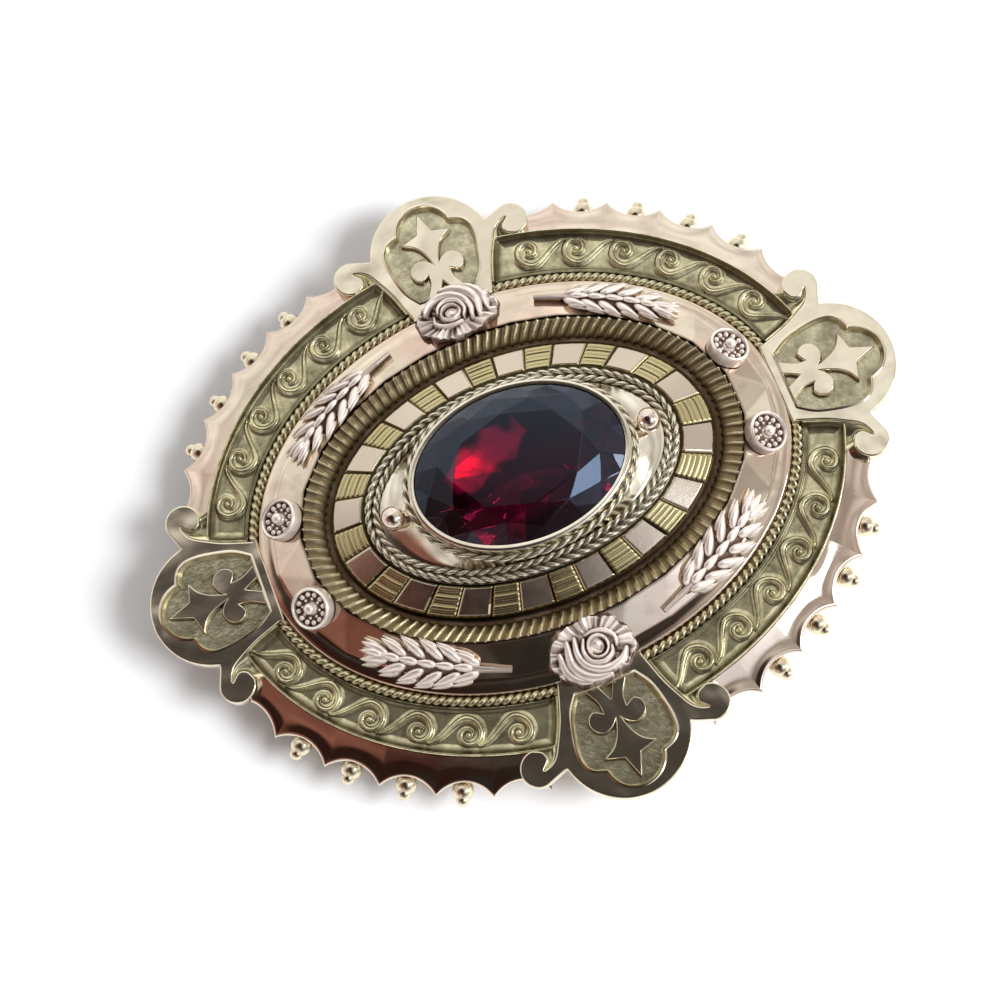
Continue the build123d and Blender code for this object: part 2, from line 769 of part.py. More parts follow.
def rope_quarter(sign):
    """Round wire in the corner between the dome and one channel, ending beside the lobes."""
    height = plate_height + outer_rope_wire / 2 + gap
    across = lobe_base_half + rope_end_clearance
    ends = (math.asin(across / outer_rope_path[1]), math.acos(across / outer_rope_path[0]))
    first, last = sorted(sector_angle(sign, math.degrees(end)) for end in ends)
    path = Edge.make_ellipse(*outer_rope_path, Plane((0, 0, height)), first, last)
    section = Plane(origin=path @ 0, z_dir=path % 0) * Circle(outer_rope_wire / 2)
    return sweep(section, path=path).solid()


def rosette(sign):
    """Round box rosette on the dome beside a long-axis lobe: rim, ring of beads and boss."""
    middle_share = 0.5 + dome_band_breadth / dome_breadth / 2
    oval = grow(dome_edge, -dome_breadth * middle_share)
    angle = angle_along(oval, 0, rosette_side)
    x, y = oval_point(oval, angle)
    normal = oval_normal(oval, angle)
    slope = math.atan2(dome_top_height - dome_band_top, dome_breadth - dome_band_breadth)
    lean = (normal[0] * math.sin(slope), normal[1] * math.sin(slope), math.cos(slope))
    height = dome_band_top + (dome_top_height - dome_band_top) / 2 + gap / math.cos(slope)
    box = Pos(0, 0, rosette_height / 2) * Cylinder(rosette_radius, rosette_height)
    box -= Pos(0, 0, rosette_height) * Cylinder(rosette_radius - rosette_rim, rosette_recess * 2)
    floor = rosette_height - rosette_recess
    ring_radius = rosette_radius - rosette_rim - rosette_bead_radius * 1.4
    boss_height = rosette_recess + rosette_boss_rise
    boss = Cone(rosette_boss_radius, rosette_boss_radius / 2, boss_height)
    bead = Cylinder(rosette_bead_radius, rosette_bead_radius * 2)
    additions = [Pos(0, 0, floor + boss_height / 2 - rosette_rim) * boss]
    for index in range(rosette_bead_count):
        turn = 360 / rosette_bead_count * (index + 0.5)
        additions.append(Rot(0, 0, turn) * Pos(ring_radius, 0, floor) * bead)
    box = box.fuse(*additions)
    stand = (x * sign[0], y * sign[1], height)
    return (Plane(origin=stand, z_dir=(lean[0] * sign[0], lean[1] * sign[1], lean[2])) * box).solid()


def relief_patch(top_at, bottom_at, corners):
    """A faceted relief: a grid of places, its top, and an underside that follows the dome."""
    rows = []
    for row in corners:
        upper = [(x, y, top_at(x, y, along, across)) for x, y, along, across in row]
        lower = [(x, y, bottom_at(x, y)) for x, y, along, across in reversed(row)]
        rows.append(upper + lower)
    return faceted(rows, closed=False)


def ear_relief(along, across):
    """Height of the wheat ear as a share: two outer rows of grains and one down the middle."""
    body_start = ear_stem_length / ear_length
    if along < body_start:
        return 0.34 * math.sqrt(max(0.0, 1 - across * across))
    share = (along - body_start) / (1 - body_start)
    best = 0.12
    for pair in range(ear_grain_pairs):
        centre = (pair + 0.6) / ear_grain_pairs
        for side, back, half in ((-0.55, 0.0, 0.42), (0.0, -0.09, 0.34), (0.55, 0.0, 0.42)):
            reach = (share - centre - back + 0.08 * abs(across - side)) * ear_grain_pairs * 0.95
            spread = (across - side) / half
            best = max(best, 1 - reach * reach - spread * spread)
    return math.sqrt(min(1.0, best)) * (1 - 0.25 * share**3)


def wheat_ear(sign):
    """Wheat ear lying on the dome, its stem towards the rose and its tip to the rosette."""
    start, end = place_on_dome(ear_stem_angle, 0.42), place_on_dome(ear_tip_angle, 0.62)
    run = (end[0] - start[0], end[1] - start[1])
    size = math.hypot(*run)
    run = (run[0] / size, run[1] / size)
    body_start = ear_stem_length / ear_length
    rows_along, cells_across = 26, 8
    corners = []
    for index in range(rows_along + 1):
        along = index / rows_along
        share = max(0.0, (along - body_start) / (1 - body_start))
        if along <= body_start:
            half = ear_stem_half
        else:
            half = ear_half_width * max(0.25, min(1.0, math.sin(math.pi * (0.16 + 0.8 * share)) * 1.15))
        bend = 0.35 * math.sin(math.pi * along)
        row = []
        for cell in range(cells_across + 1):
            across = 2 * cell / cells_across - 1
            x = start[0] + run[0] * along * ear_length - run[1] * (across * half - bend)
            y = start[1] + run[1] * along * ear_length + run[0] * (across * half - bend)
            row.append((x, y, along, across))
        corners.append(row)

    def top_at(x, y, along, across):
        return dome_height(x, y) + gap * 2 + ear_height * (0.18 + 0.82 * ear_relief(along, across))

    piece = relief_patch(top_at, lambda x, y: dome_height(x, y) + gap, corners)
    piece = piece if sign[0] > 0 else piece.mirror(Plane.YZ)
    return piece if sign[1] > 0 else piece.mirror(Plane.XZ)


def rose_relief(radius, turn):
    """Height of the rose as a share: ruffled outer leaves, rolled petals and a bud."""
    ruffle = 0.5 + 0.5 * math.cos(7 * turn + 4 * radius)
    outer = 0.3 + 0.14 * ruffle
    petals = 0.62 + 0.12 * math.cos(3 * turn - 9 * radius)
    bud = 1.0 - 0.25 * (radius / 0.3) ** 2
    if radius < 0.3:
        return bud
    if radius < 0.7:
        return petals
    return outer * (1 - 0.5 * ((radius - 0.7) / 0.3) ** 2)


def rose(side):
    """Rose on the dome at one end of the short axis, partly over the lobe's foot."""
    centre_y = dome_edge[1] - rose_shift
    rings, rays = 7, 32
    rows = []
    for ray in range(rays):
        turn = 2 * math.pi * ray / rays
        edge = 1 + 0.07 * math.cos(7 * turn)
        upper, lower = [], []
        for ring in range(rings):
            radius = (0.08, 0.26, 0.34, 0.5, 0.66, 0.76, 1.0)[ring]
            x = rose_half_length * radius * edge * math.cos(turn)
            y = centre_y + rose_half_width * radius * edge * math.sin(turn)
            carried = max(dome_height(x, y), dome_height(x, centre_y) if radius < 0.2 else 0)
            level = lobe_top + gap
            upper.append((x, y, max(carried, level) + gap + rose_height * rose_relief(radius, turn)))
            lower.append((x, y, carried + gap))
        rows.append(upper + lower[::-1])
    body = faceted(rows, closed=True)
    core_radius = rose_half_length * 0.1
    core = Cylinder(core_radius, rose_height * 0.6)
    body = body.fuse(Pos(0, centre_y, lobe_top + gap * 3 + rose_height * 0.75) * core).solid()
    return body if side > 0 else body.mirror(Plane.XZ)


def gallery_rim():
    """Oval wall that the brooch rests on, with a ledge inside that carries the dome."""
    return oval_ring(
        [(gallery_edge, 0), (gallery_edge, gallery_height)],
        [
            (gallery_bore, -1),
            (gallery_bore, ledge_bottom),
            (ledge_bore, ledge_bottom + gap),
            (ledge_bore, gallery_height + 1),
        ],
    )


def back_plate():
    """Closed plate under the ledge."""
    edge = grow(gallery_bore, -gap)
    return stack([(edge, back_plate_bottom), (edge, back_plate_bottom + back_plate_thickness)])


def brooch_pin():
    """Plain pin in one piece: hinge block, stem and open catch, under the back plate."""
    top = back_plate_bottom - gap
    height = top - pin_block_drop
    block = Box(pin_block_length, pin_block_width, height)
    hinge = Pos(-pin_reach, 0, top - height / 2) * block
    stem = Pos(0, 0, pin_stem_height) * Rot(0, 90, 0) * Cylinder(pin_stem_diameter / 2, pin_reach * 2)
    at_catch = Pos(pin_reach, 0, pin_stem_height)
    throat = Pos(0, pin_block_width / 2, 0) * Box(pin_block_length * 2, pin_block_width, catch_throat)
    throat_bore = Rot(0, 90, 0) * Cylinder(catch_throat / 2, pin_block_length * 2)
    rest = Rot(0, 90, 0) * Cylinder(pin_stem_diameter / 2, pin_block_length)
    floor = Box(pin_block_length, pin_block_width / 2, pin_stem_diameter / 2)
    catch = Pos(pin_reach, 0, top - height / 2) * block - at_catch * throat - at_catch * throat_bore
    return (hinge + stem + catch + at_catch * rest + at_catch * Pos(0, -pin_block_width / 4, 0) * floor).solid()


def build():
    """Every piece of the brooch by its name."""
    plait_height = cove_seat_height + gap * 2 + double_rope_wire / 2
    pieces = {
        "garnet": garnet(),
        "bezel": bezel(),
        "inner_rope": rope_ring(inner_rope_path, girdle_height - inner_rope_drop, inner_rope_wire),
        "cove": cove(),
        "grain_right": ball_grain(1),
        "grain_left": ball_grain(-1),
        "double_rope_inner": rope_ring(double_rope_inner, plait_height, double_rope_wire),
        "double_rope_outer": rope_ring(double_rope_outer, plait_height, double_rope_wire),
        "panel_ring": panel_ring(),
        "milled_ring": milled_ring(),
        "dome_band": dome_band(),
        "gallery_rim": gallery_rim(),
        "back_plate": back_plate(),
        "brooch_pin": brooch_pin(),
        "rose_top": rose(1),
        "rose_bottom": rose(-1),
    }
    for name in ("right", "top", "left", "bottom"):
        pieces["lobe_" + name] = lobe(name)
    bodies = channels()
    for name, sign in quarters.items():
        body = min(bodies, key=lambda solid: -(solid.center().X * sign[0] + solid.center().Y * sign[1]))
        pieces["channel_" + name] = channel_with_scrolls(body, sign)
        pieces["flange_" + name] = flange(sign)
        pieces["outer_rope_" + name] = rope_quarter(sign)
        pieces["rosette_" + name] = rosette(sign)
        pieces["wheat_ear_" + name] = wheat_ear(sign)
        pieces.update(granules(sign, name))
    return pieces


os.makedirs("parts", exist_ok=True)
for node, solid in build().items():
    solid.label = node
    export_step(solid, f"parts/{node}.step")
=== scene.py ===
"""An oval gold brooch with a garnet: its looks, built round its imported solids.

Sizes are in millimetres in the brooch's own frame, and become metres when a mesh is made. An
"oval" is a pair of half its length and half its width, as in the part's source. "turn" is an
oval's own parameter in radians.
"""

import math

import bmesh
import bpy
import numpy as np
from mathutils import Matrix, Vector
from mathutils.geometry import tessellate_polygon


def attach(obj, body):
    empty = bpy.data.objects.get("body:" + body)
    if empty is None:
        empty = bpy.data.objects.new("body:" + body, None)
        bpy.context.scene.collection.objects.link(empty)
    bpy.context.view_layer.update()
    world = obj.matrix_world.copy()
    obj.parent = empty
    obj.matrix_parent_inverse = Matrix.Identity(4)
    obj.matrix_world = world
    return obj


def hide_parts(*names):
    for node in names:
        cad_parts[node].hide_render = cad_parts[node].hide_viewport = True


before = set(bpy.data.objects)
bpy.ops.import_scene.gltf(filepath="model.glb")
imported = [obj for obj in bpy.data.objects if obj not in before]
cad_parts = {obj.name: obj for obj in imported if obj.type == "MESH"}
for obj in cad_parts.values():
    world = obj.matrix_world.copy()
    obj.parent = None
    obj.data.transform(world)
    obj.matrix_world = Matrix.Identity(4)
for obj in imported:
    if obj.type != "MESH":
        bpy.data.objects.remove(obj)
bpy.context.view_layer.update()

MILLIMETRE = 0.001


def colour(red, green, blue):
    """An opaque colour."""
    return (red, green, blue, 1.0)


# Sizes shared with the part's source
gap = 0.03
stone_length, stone_width = 12.4, 9.1
girdle_thickness, crown_height, pavilion_depth = 0.22, 1.15, 3.5
table_share, girdle_height = 0.62, 7.1
bezel_wall, bezel_lip, bezel_lip_rise = 0.22, 0.12, 0.12
inner_rope_wire, inner_rope_drop = 0.4, 0.55
cove_breadth_long, cove_breadth_short = 1.98, 0.1
cove_top_height, cove_foot_height, cove_seat_height = 6.25, 5.3, 5.1
double_rope_wire = 0.42
panel_ring_breadth_long, panel_ring_breadth_short = 2.1, 1.85
panel_ring_outer_height, panel_ring_inner_height = 4.62, 5.3
panel_count, panel_length, panel_rise = 16, 1.9, 0.13
groove_breadth, milled_breadth_long, milled_breadth_short = 0.35, 1.3, 1.1
milled_outer_height = 5.2
milling_count, milling_depth, milling_lean = 116, 0.14, 0.4
dome_breadth, dome_band_breadth, dome_foot_height, dome_band_rise = 2.64, 0.7, 3.95, 0.1
dome_top_height, dome_wall, tray_height, tray_thickness = 5.1, 0.4, 4.42, 0.3
outer_rope_wire = 0.62
gallery_height = 3.2
channel_breadth_long, channel_breadth_short = 2.35, 2.81
channel_floor, channel_wall_height = 0.32, 0.72
scroll_count, scroll_pitch, scroll_wire, scroll_rise = 6, 2.83, 0.2, 0.26
scroll_radius, scroll_end_radius, scroll_turn, scroll_line_shift = 0.96, 0.26, 400, 0.17
boss_radius = 0.19
flange_breadth, flange_thickness, flange_inner_height, flange_drop = 2.2, 0.28, 3.78, 0.72
cusp_count, cusp_pitch, scallop_depth = 5, 3.3, 0.82
lobe_overhang, lobe_thickness, lobe_radius = 3.92, 0.77, 3.76
lobe_cusp_back, lobe_base_half = 2.9, 2.52
volute_back, volute_half, volute_radius = 3.5, 5.13, 1.05
horn_tip_back, horn_tip_half, eye_clearance_half = 3.27, 4.9, 4.46
recess_depth, recess_length, recess_half, recess_front = 0.42, 6.6, 2.85, 0.54
relief_drop, relief_length, relief_half = 0.06, 6.65, 1.65
rosette_radius, rosette_height, rosette_side = 1.22, 0.72, 2.8
rose_half_length, rose_half_width, rose_height, rose_shift = 2.6, 1.85, 1.5, 0.95
ear_length, ear_stem_length, ear_stem_half = 8.7, 1.6, 0.2
sector_middle, ear_stem_angle, ear_tip_angle = 48.4, 72.0, 37.0

# The garnet's deep red, and patches of painted light glowing crimson in it: centre, reach on
# each axis, turn in degrees, and colour
deep_red = colour(0.028, 0.0005, 0.004)
garnet_glow_patches = [
    ((0.4, -1.3, 8.0), (4.2, 1.6, 4.0), 8, colour(0.08, 0.001, 0.02)),
    ((-1.75, 0.8, 8.0), (2.3, 0.9, 4.0), 24, colour(0.9, 0.01, 0.15)),
]

# Petals of the rose: points that a rolled petal's crest runs through, from the rose's centre,
# then its half breadth and its height as a share of the rose's
rose_petals = [
    (
        [(-1.1, 0.2), (-0.92, 0.6), (-0.36, 0.84), (0.26, 0.62), (0.5, 0.0), (0.3, -0.6)],
        0.2,
        0.94,
    ),
    (
        [(-1.8, 0.55), (-1.4, 1.0), (-0.7, 1.24), (0.0, 1.14), (0.6, 0.7), (0.86, 0.0), (0.76, -0.8)],
        0.3,
        0.9,
    ),
    ([(-0.5, 1.62), (0.3, 1.5), (0.98, 1.05), (1.34, 0.3), (1.22, -0.75)], 0.36, 0.8),
    ([(0.7, 1.66), (1.36, 1.25), (1.76, 0.6), (1.8, -0.35)], 0.3, 0.66),
    ([(-1.35, 0.2), (-1.4, -0.3), (-1.0, -0.72), (-0.4, -0.86), (0.15, -0.8)], 0.17, 0.72),
]
rose_bud, rose_bud_radius = (-0.36, -0.02), 0.74

# The channel's moulding: distance inward from its rim, and fall below it
channel_moulding = [
    (-1.0, -0.04),
    (0.0, -0.03),
    (0.03, 0.0),
    (0.08, 0.0),
    (0.12, -0.05),
    (0.17, -0.15),
    (0.24, -0.25),
    (0.34, -0.32),
    (0.48, -0.37),
    (0.65, -0.4),
    (9.0, -0.4),
]

# The photograph's camera, found by fitting the brooch's outline
camera_place = (-4.50, -32.97, 107.98)
camera_angles = (16.716, 4.834, -20.668)
camera_lens, sensor_width = 68.4, 36.0

# Soft spots of the room: direction, angles at which they end and are full, and the light they
# add, or the share of it that they take away, with the tint that the room has there
room_spots = [
    ((-0.17, -0.04, 0.98), 28, 20, -0.94),
    ((-0.1, -0.5, 0.85), 34, 16, -0.75),
    ((-0.6, -0.16, 0.78), 34, 16, -0.72, colour(1.0, 0.42, 0.33)),
    ((0.0, -0.75, 0.6), 40, 12, -0.75),
    ((0.62, -0.16, 0.77), 26, 8, -0.22),
    ((0.36, -0.6, 0.72), 20, 8, 0.8, colour(0.86, 0.9, 1.0)),
    ((0.2, 0.8, 0.45), 50, 15, 0.3),
]

# Lamps, all aimed at the brooch: place, breadth and height, power and tone
lamps = {
    "key": ((196, -150, 240), (160, 150), 1.35, (1.0, 0.99, 0.975)),
    "glint": ((300, -128, 128), (90, 80), 0.18, (1.0, 0.99, 0.975)),
    "pane": ((196, -134, 254), (82, 70), 0.1, (0.78, 0.89, 1.0)),
}

# The quarters by the signs of their places, and the lobes by their angle in degrees
quarters = {
    "upper_right": (1, 1),
    "upper_left": (-1, 1),
    "lower_left": (-1, -1),
    "lower_right": (1, -1),
}
lobe_angles = {"right": 0, "top": 90, "left": 180, "bottom": 270}


def grow(oval, long_side, short_side=None):
    """The oval made larger all round by a breadth, or by one on each axis."""
    return (oval[0] + long_side, oval[1] + (long_side if short_side is None else short_side))


stone_edge = (stone_length / 2, stone_width / 2)
bezel_bore = grow(stone_edge, gap)
bezel_edge = grow(bezel_bore, bezel_wall)
inner_rope_path = grow(bezel_edge, gap + inner_rope_wire / 2)
cove_inner = grow(bezel_edge, gap)
cove_edge = grow(cove_inner, cove_breadth_long, cove_breadth_short)
double_rope_inner = grow(cove_edge, gap + double_rope_wire / 2)
double_rope_outer = grow(double_rope_inner, gap + double_rope_wire)
cove_seat_edge = grow(double_rope_outer, double_rope_wire / 2)
panel_ring_inner = grow(cove_seat_edge, gap)
panel_ring_edge = grow(panel_ring_inner, panel_ring_breadth_long, panel_ring_breadth_short)
milled_inner = grow(panel_ring_edge, groove_breadth)
milled_edge = grow(milled_inner, milled_breadth_long, milled_breadth_short)
dome_inner = grow(milled_edge, gap)
dome_edge = grow(dome_inner, dome_breadth)
dome_shoulder = grow(dome_edge, -dome_band_breadth)
outer_rope_path = grow(dome_edge, gap + outer_rope_wire / 2)
channel_inner = grow(outer_rope_path, gap + outer_rope_wire / 2)
rim_edge = grow(channel_inner, channel_breadth_long, channel_breadth_short)
flange_tips = grow(rim_edge, flange_breadth)
lobe_reach = grow(rim_edge, lobe_overhang)
scroll_line = grow(
    channel_inner,
    channel_breadth_long / 2 + scroll_line_shift,
    channel_breadth_short / 2 + scroll_line_shift,
)

plate_height = gallery_height + gap
lobe_top = plate_height + lobe_thickness
floor_height = plate_height + channel_floor
rim_height = plate_height + channel_wall_height
dome_band_top = dome_foot_height + dome_band_rise
seat_height = tray_height + gap


# Curves and fields


def smoothstep(low, high, value):
    """0 below low, 1 above high, and a cubic with level ends between them."""
    share = np.clip((value - low) / (high - low), 0, 1)
    return share * share * (3 - 2 * share)


def oval_points(oval, turns):
    """Points (a cos t, b sin t) of an oval."""
    return np.stack([oval[0] * np.cos(turns), oval[1] * np.sin(turns)], -1)


def oval_normals(oval, turns):
    """Unit normals out of the oval: (b cos t, a sin t) made of length 1."""
    normals = np.stack([oval[1] * np.cos(turns), oval[0] * np.sin(turns)], -1)
    return normals / np.linalg.norm(normals, axis=-1, keepdims=True)


def oval_table(oval):
    """Turns from 0 to a whole one, and the lengths from +X to them, summed by trapezoids."""
    turns = np.linspace(0, 2 * math.pi, 4097)
    speed = np.hypot(oval[0] * np.sin(turns), oval[1] * np.cos(turns))
    return turns, np.concatenate([[0], np.cumsum((speed[1:] + speed[:-1]) / 2 * np.diff(turns))])


def oval_length(oval):
    """The oval's length round."""
    return oval_table(oval)[1][-1]


def turns_at(oval, distances):
    """The turns at distances along the oval, anticlockwise from +X."""
    turns, lengths = oval_table(oval)
    laps = np.floor(np.asarray(distances, float) / lengths[-1])
    return np.interp(distances - laps * lengths[-1], lengths, turns) + laps * 2 * math.pi


def distance_at(oval, turn):
    """The distance along the oval from +X to a turn between 0 and a whole one."""
    turns, lengths = oval_table(oval)
    return float(np.interp(turn, turns, lengths))


def beside(oval, turns, outward):
    """Points a distance outward from the oval along its normals."""
    return oval_points(oval, turns) + oval_normals(oval, turns) * np.asarray(outward)[..., None]


def through(points, per_span):
    """A Catmull-Rom curve: in each span a cubic whose end slopes are half the chords of the
    neighbouring points."""
    knots = np.array(points, float)
    padded = np.vstack([2 * knots[0] - knots[1], knots, 2 * knots[-1] - knots[-2]])
    share = np.linspace(0, 1, per_span, endpoint=False)[None, :, None]
    before, start, end, after = (padded[k : len(padded) - 3 + k, None] for k in range(4))
    curve = 0.5 * (
        2 * start
        + (end - before) * share
        + (2 * before - 5 * start + 4 * end - after) * share**2
        + (3 * start - before - 3 * end + after) * share**3
    )
    return np.vstack([curve.reshape(-1, knots.shape[1]), knots[-1:]])


def arc_through(start, middle, end, count):
    """Points of the circular arc from start through middle to end."""
    start, middle, end = (np.array(p, float) for p in (start, middle, end))
    rows = np.array([middle - start, end - start]) * 2
    sides = np.array([middle @ middle - start @ start, end @ end - start @ start])
    centre = np.linalg.solve(rows, sides)
    radius = np.linalg.norm(start - centre)
    first, via, last = (math.atan2(*(p - centre)[::-1]) for p in (start, middle, end))
    sweep = (last - first) % (2 * math.pi)
    if (via - first) % (2 * math.pi) > sweep:
        sweep -= 2 * math.pi
    angles = first + sweep * np.linspace(0, 1, count)
    return centre + radius * np.stack([np.cos(angles), np.sin(angles)], -1)


def evenly(path, spacing):
    """The path divided again into steps of about one length."""
    steps = np.linalg.norm(np.diff(path, axis=0), axis=1)
    lengths = np.concatenate([[0], np.cumsum(steps)])
    count = max(3, int(lengths[-1] / spacing))
    wanted = np.linspace(0, lengths[-1], count + 1)
    return np.stack([np.interp(wanted, lengths, path[:, k]) for k in range(path.shape[1])], -1)


def rounded(corners, radius):
    """A closed loop with its corners rounded: each becomes the quadratic curve between points
    a radius before and after it, or two fifths of the side where that is less."""
    corner, steps = np.array(corners, float), 3

    def toward(other):
        """Each corner moved a radius toward its neighbour."""
        side = other - corner
        size = np.linalg.norm(side, axis=1, keepdims=True) + 1e-12
        return corner + side / size * np.minimum(radius, 0.4 * size)

    start, end = toward(np.roll(corner, 1, 0))[:, None], toward(np.roll(corner, -1, 0))[:, None]
    share = np.linspace(0, 1, steps + 1)[None, :, None]
    curve = (1 - share) ** 2 * start + 2 * share * (1 - share) * corner[:, None] + share**2 * end
    return curve.reshape(-1, corner.shape[1])


def inset(loop, distance):
    """A closed anticlockwise loop moved inwards by a distance along its corner normals."""
    before, after = np.roll(loop, 1, 0), np.roll(loop, -1, 0)
    run = after - before
    run /= np.linalg.norm(run, axis=1, keepdims=True) + 1e-12
    return loop + np.stack([-run[:, 1], run[:, 0]], -1) * distance


def nearest(places, path, halves=None):
    """Distance of each place to the nearest point of a path, as a share of that point's half
    breadth where halves gives one."""
    shape = places.shape[:-1]
    flat = places.reshape(-1, 2).astype(np.float32)
    path = path.astype(np.float32)
    scale = np.ones(len(path), np.float32) if halves is None else np.asarray(halves, np.float32)
    found = np.empty(len(flat), np.float32)
    batch = 20000
    for start in range(0, len(flat), batch):
        away = flat[start : start + batch, None] - path[None]
        found[start : start + batch] = (np.hypot(away[..., 0], away[..., 1]) / scale).min(1)
    return found.reshape(shape).astype(float)


def dome_height(places):
    """Height of what carries the ornaments: the distance inward from the dome's edge is found
    by halving, and gives the height of lobe, plain band or slope there."""
    low = np.full(places.shape[:-1], dome_inner[0] - dome_edge[0])
    high = np.full(places.shape[:-1], lobe_overhang)
    for _ in range(30):
        middle = (low + high) / 2
        halves = np.array(dome_edge) + middle[..., None]
        inside = ((places / halves) ** 2).sum(-1) < 1
        low, high = np.where(inside, low, middle), np.where(inside, middle, high)
    inward = -(low + high) / 2
    steps = [-0.01, 0, dome_band_breadth, dome_breadth]
    heights = [lobe_top, dome_foot_height, dome_band_top, dome_top_height]
    return np.maximum(lobe_top, np.interp(inward, steps, heights))


def at_height(loop, height):
    """Points (x, y) of a loop as points (x, y, height)."""
    return np.column_stack([loop, np.full(len(loop), height)])


def resampled(curve, count):
    """Points of the curve at equal steps of its point numbers, interpolated."""
    wanted, known = np.linspace(0, 1, count), np.linspace(0, 1, len(curve))
    return np.stack([np.interp(wanted, known, curve[:, k]) for k in (0, 1)], -1)


# Meshes


class Body:
    """Grids and flat caps that together make one piece. A mark is a point's polish, which in places is
    also painted highlight or painted shade.
    """

    def __init__(self):
        self.points, self.corners, self.sizes, self.marks, self.total = [], [], [], [], 0

    def add(self, points, faces, marks):
        """Faces between points, with the polish of each point."""
        points = np.asarray(points, float)
        self.points.append(points.reshape(-1, 3))
        self.marks.append(np.broadcast_to(np.asarray(marks, float), points.shape[:-1]).reshape(-1))
        self.corners.append((faces + self.total).reshape(-1))
        self.sizes.append(np.full(len(faces), faces.shape[1]))
        self.total += len(self.points[-1])

    def grid(self, points, wrap=(False, False), mark=0.0):
        """Quads between the neighbours of points[row, column], joined round where wrap says."""
        rows, columns = points.shape[:2]
        index = np.arange(rows * columns).reshape(rows, columns)
        if wrap[0]:
            index = np.vstack([index, index[:1]])
        if wrap[1]:
            index = np.hstack([index, index[:, :1]])
        corners = [index[:-1, :-1], index[1:, :-1], index[1:, 1:], index[:-1, 1:]]
        self.add(points, np.stack(corners, -1).reshape(-1, 4), mark)

    def cap(self, loops, mark=0.0):
        """Triangles that fill the first loop round the other ones."""
        points = np.vstack(loops)
        faces = np.array(tessellate_polygon([[Vector(p) for p in loop.tolist()] for loop in loops]))
        self.add(points, faces, mark)

    def tube(self, points, mark, end_mark):
        """A grid joined round its columns, with a flat cap over its first and its last row."""
        self.grid(points, (False, True), mark)
        for end in (points[0], points[-1]):
            self.cap([end], end_mark)

    def slab(self, top, foot_height, mark, side_mark=0.8, foot_mark=0.5):
        """A grid with an upright wall from its border down to a flat foot."""
        border = np.vstack([top[:, 0], top[-1, 1:], top[::-1, -1][1:], top[0, ::-1][1:-1]])
        foot = border * (1, 1, 0) + (0, 0, foot_height)
        self.grid(top, (False, False), mark)
        self.grid(np.stack([border, foot], 1), (True, False), side_mark)
        self.cap([foot], foot_mark)

    def place(self, linear, shift):
        """Every point p so far becomes linear p + shift."""
        linear, shift = np.asarray(linear, float), np.asarray(shift, float)
        self.points = [p @ linear.T + shift for p in self.points]

    def piece(self, name, material, nodes, sharp=38.0, weld=0.002):
        """The finished object: doubles welded, faces outward, edges over an angle sharp."""
        mesh = bpy.data.meshes.new(name)
        points, sizes = np.vstack(self.points), np.concatenate(self.sizes)
        corners, marks = np.concatenate(self.corners), np.concatenate(self.marks)
        mesh.vertices.add(len(points))
        mesh.vertices.foreach_set("co", (points * MILLIMETRE).astype(np.float32).ravel())
        mesh.loops.add(len(corners))
        mesh.loops.foreach_set("vertex_index", corners.astype(np.int32))
        mesh.polygons.add(len(sizes))
        mesh.polygons.foreach_set("loop_start", (np.cumsum(sizes) - sizes).astype(np.int32))
        polish = mesh.attributes.new("polish", "FLOAT", "POINT")
        polish.data.foreach_set("value", marks.astype(np.float32))
        mesh.update(calc_edges=True)
        work = bmesh.new()
        work.from_mesh(mesh)
        bmesh.ops.remove_doubles(work, verts=work.verts, dist=weld * MILLIMETRE)
        bmesh.ops.recalc_face_normals(work, faces=work.faces)
        work.to_mesh(mesh)
        work.free()
        mesh.polygons.foreach_set("use_smooth", np.ones(len(mesh.polygons), bool))
        mesh.set_sharp_from_angle(angle=math.radians(sharp))
        mesh.materials.append(material)
        made = bpy.data.objects.new(name, mesh)
        bpy.context.scene.collection.objects.link(made)
        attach(made, "root")
        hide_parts(*nodes)
        return made


def ring(sections, turns):
    """Rows (half length, half width, height) carried round the ovals: (a cos t, b sin t, z)."""
    rows, turns = np.array(sections, float), turns[:, None]
    heights = np.broadcast_to(rows[:, 2], (len(turns), len(rows)))
    return np.stack([np.cos(turns) * rows[:, 0], np.sin(turns) * rows[:, 1], heights], -1)


def section(*rows):
    """Rows (oval, height) as an array of (half length, half width, height)."""
    return np.array([(oval[0], oval[1], height) for oval, height in rows], float)


def ball(centre, radii, count):
    """Ball of latitude u and longitude v: centre + radii (cos u cos v, cos u sin v, sin u)."""
    up = np.linspace(-math.pi / 2, math.pi / 2, count // 2 + 1)[:, None]
    around = np.linspace(0, 2 * math.pi, count, endpoint=False)[None]
    sphere = [np.cos(up) * np.cos(around), np.cos(up) * np.sin(around), np.sin(up) + 0 * around]
    return np.asarray(centre) + np.asarray(radii) * np.stack(sphere, -1)


def lathe(profile, count):
    """Rows (radius r, height z) turned about Z: (r cos t, r sin t, z)."""
    radii, heights = np.array(profile, float).T
    turns = np.linspace(0, 2 * math.pi, count, endpoint=False)[:, None]
    return np.stack([radii * np.cos(turns), radii * np.sin(turns), heights + 0 * turns], -1)


def twisted(path, height, radius, lay, depth, round_count):
    """A wire of two twisted strands, and where it is bright. Round the path (points, unit
    normals in the plan and distances) the radius falls by a share depth between the strands,
    and swells with |cos(angle - twist)| to the power 0.8, whose twist winds once in a lay. It
    is bright as that swell to the power 1.8: painted highlight on the strands and painted shade
    between them."""
    points, normals, distances = path
    angles = np.linspace(0, 2 * math.pi, round_count, endpoint=False)[None]
    swell = np.abs(np.cos(angles - 2 * math.pi * distances[:, None] / lay)) ** 0.8
    reach = radius * (1 - depth + depth * swell)
    out, up = reach * np.cos(angles), reach * np.sin(angles)
    plan = points[:, None] + normals[:, None] * out[..., None]
    return np.concatenate([plan, (height + up)[..., None]], -1), swell**1.8


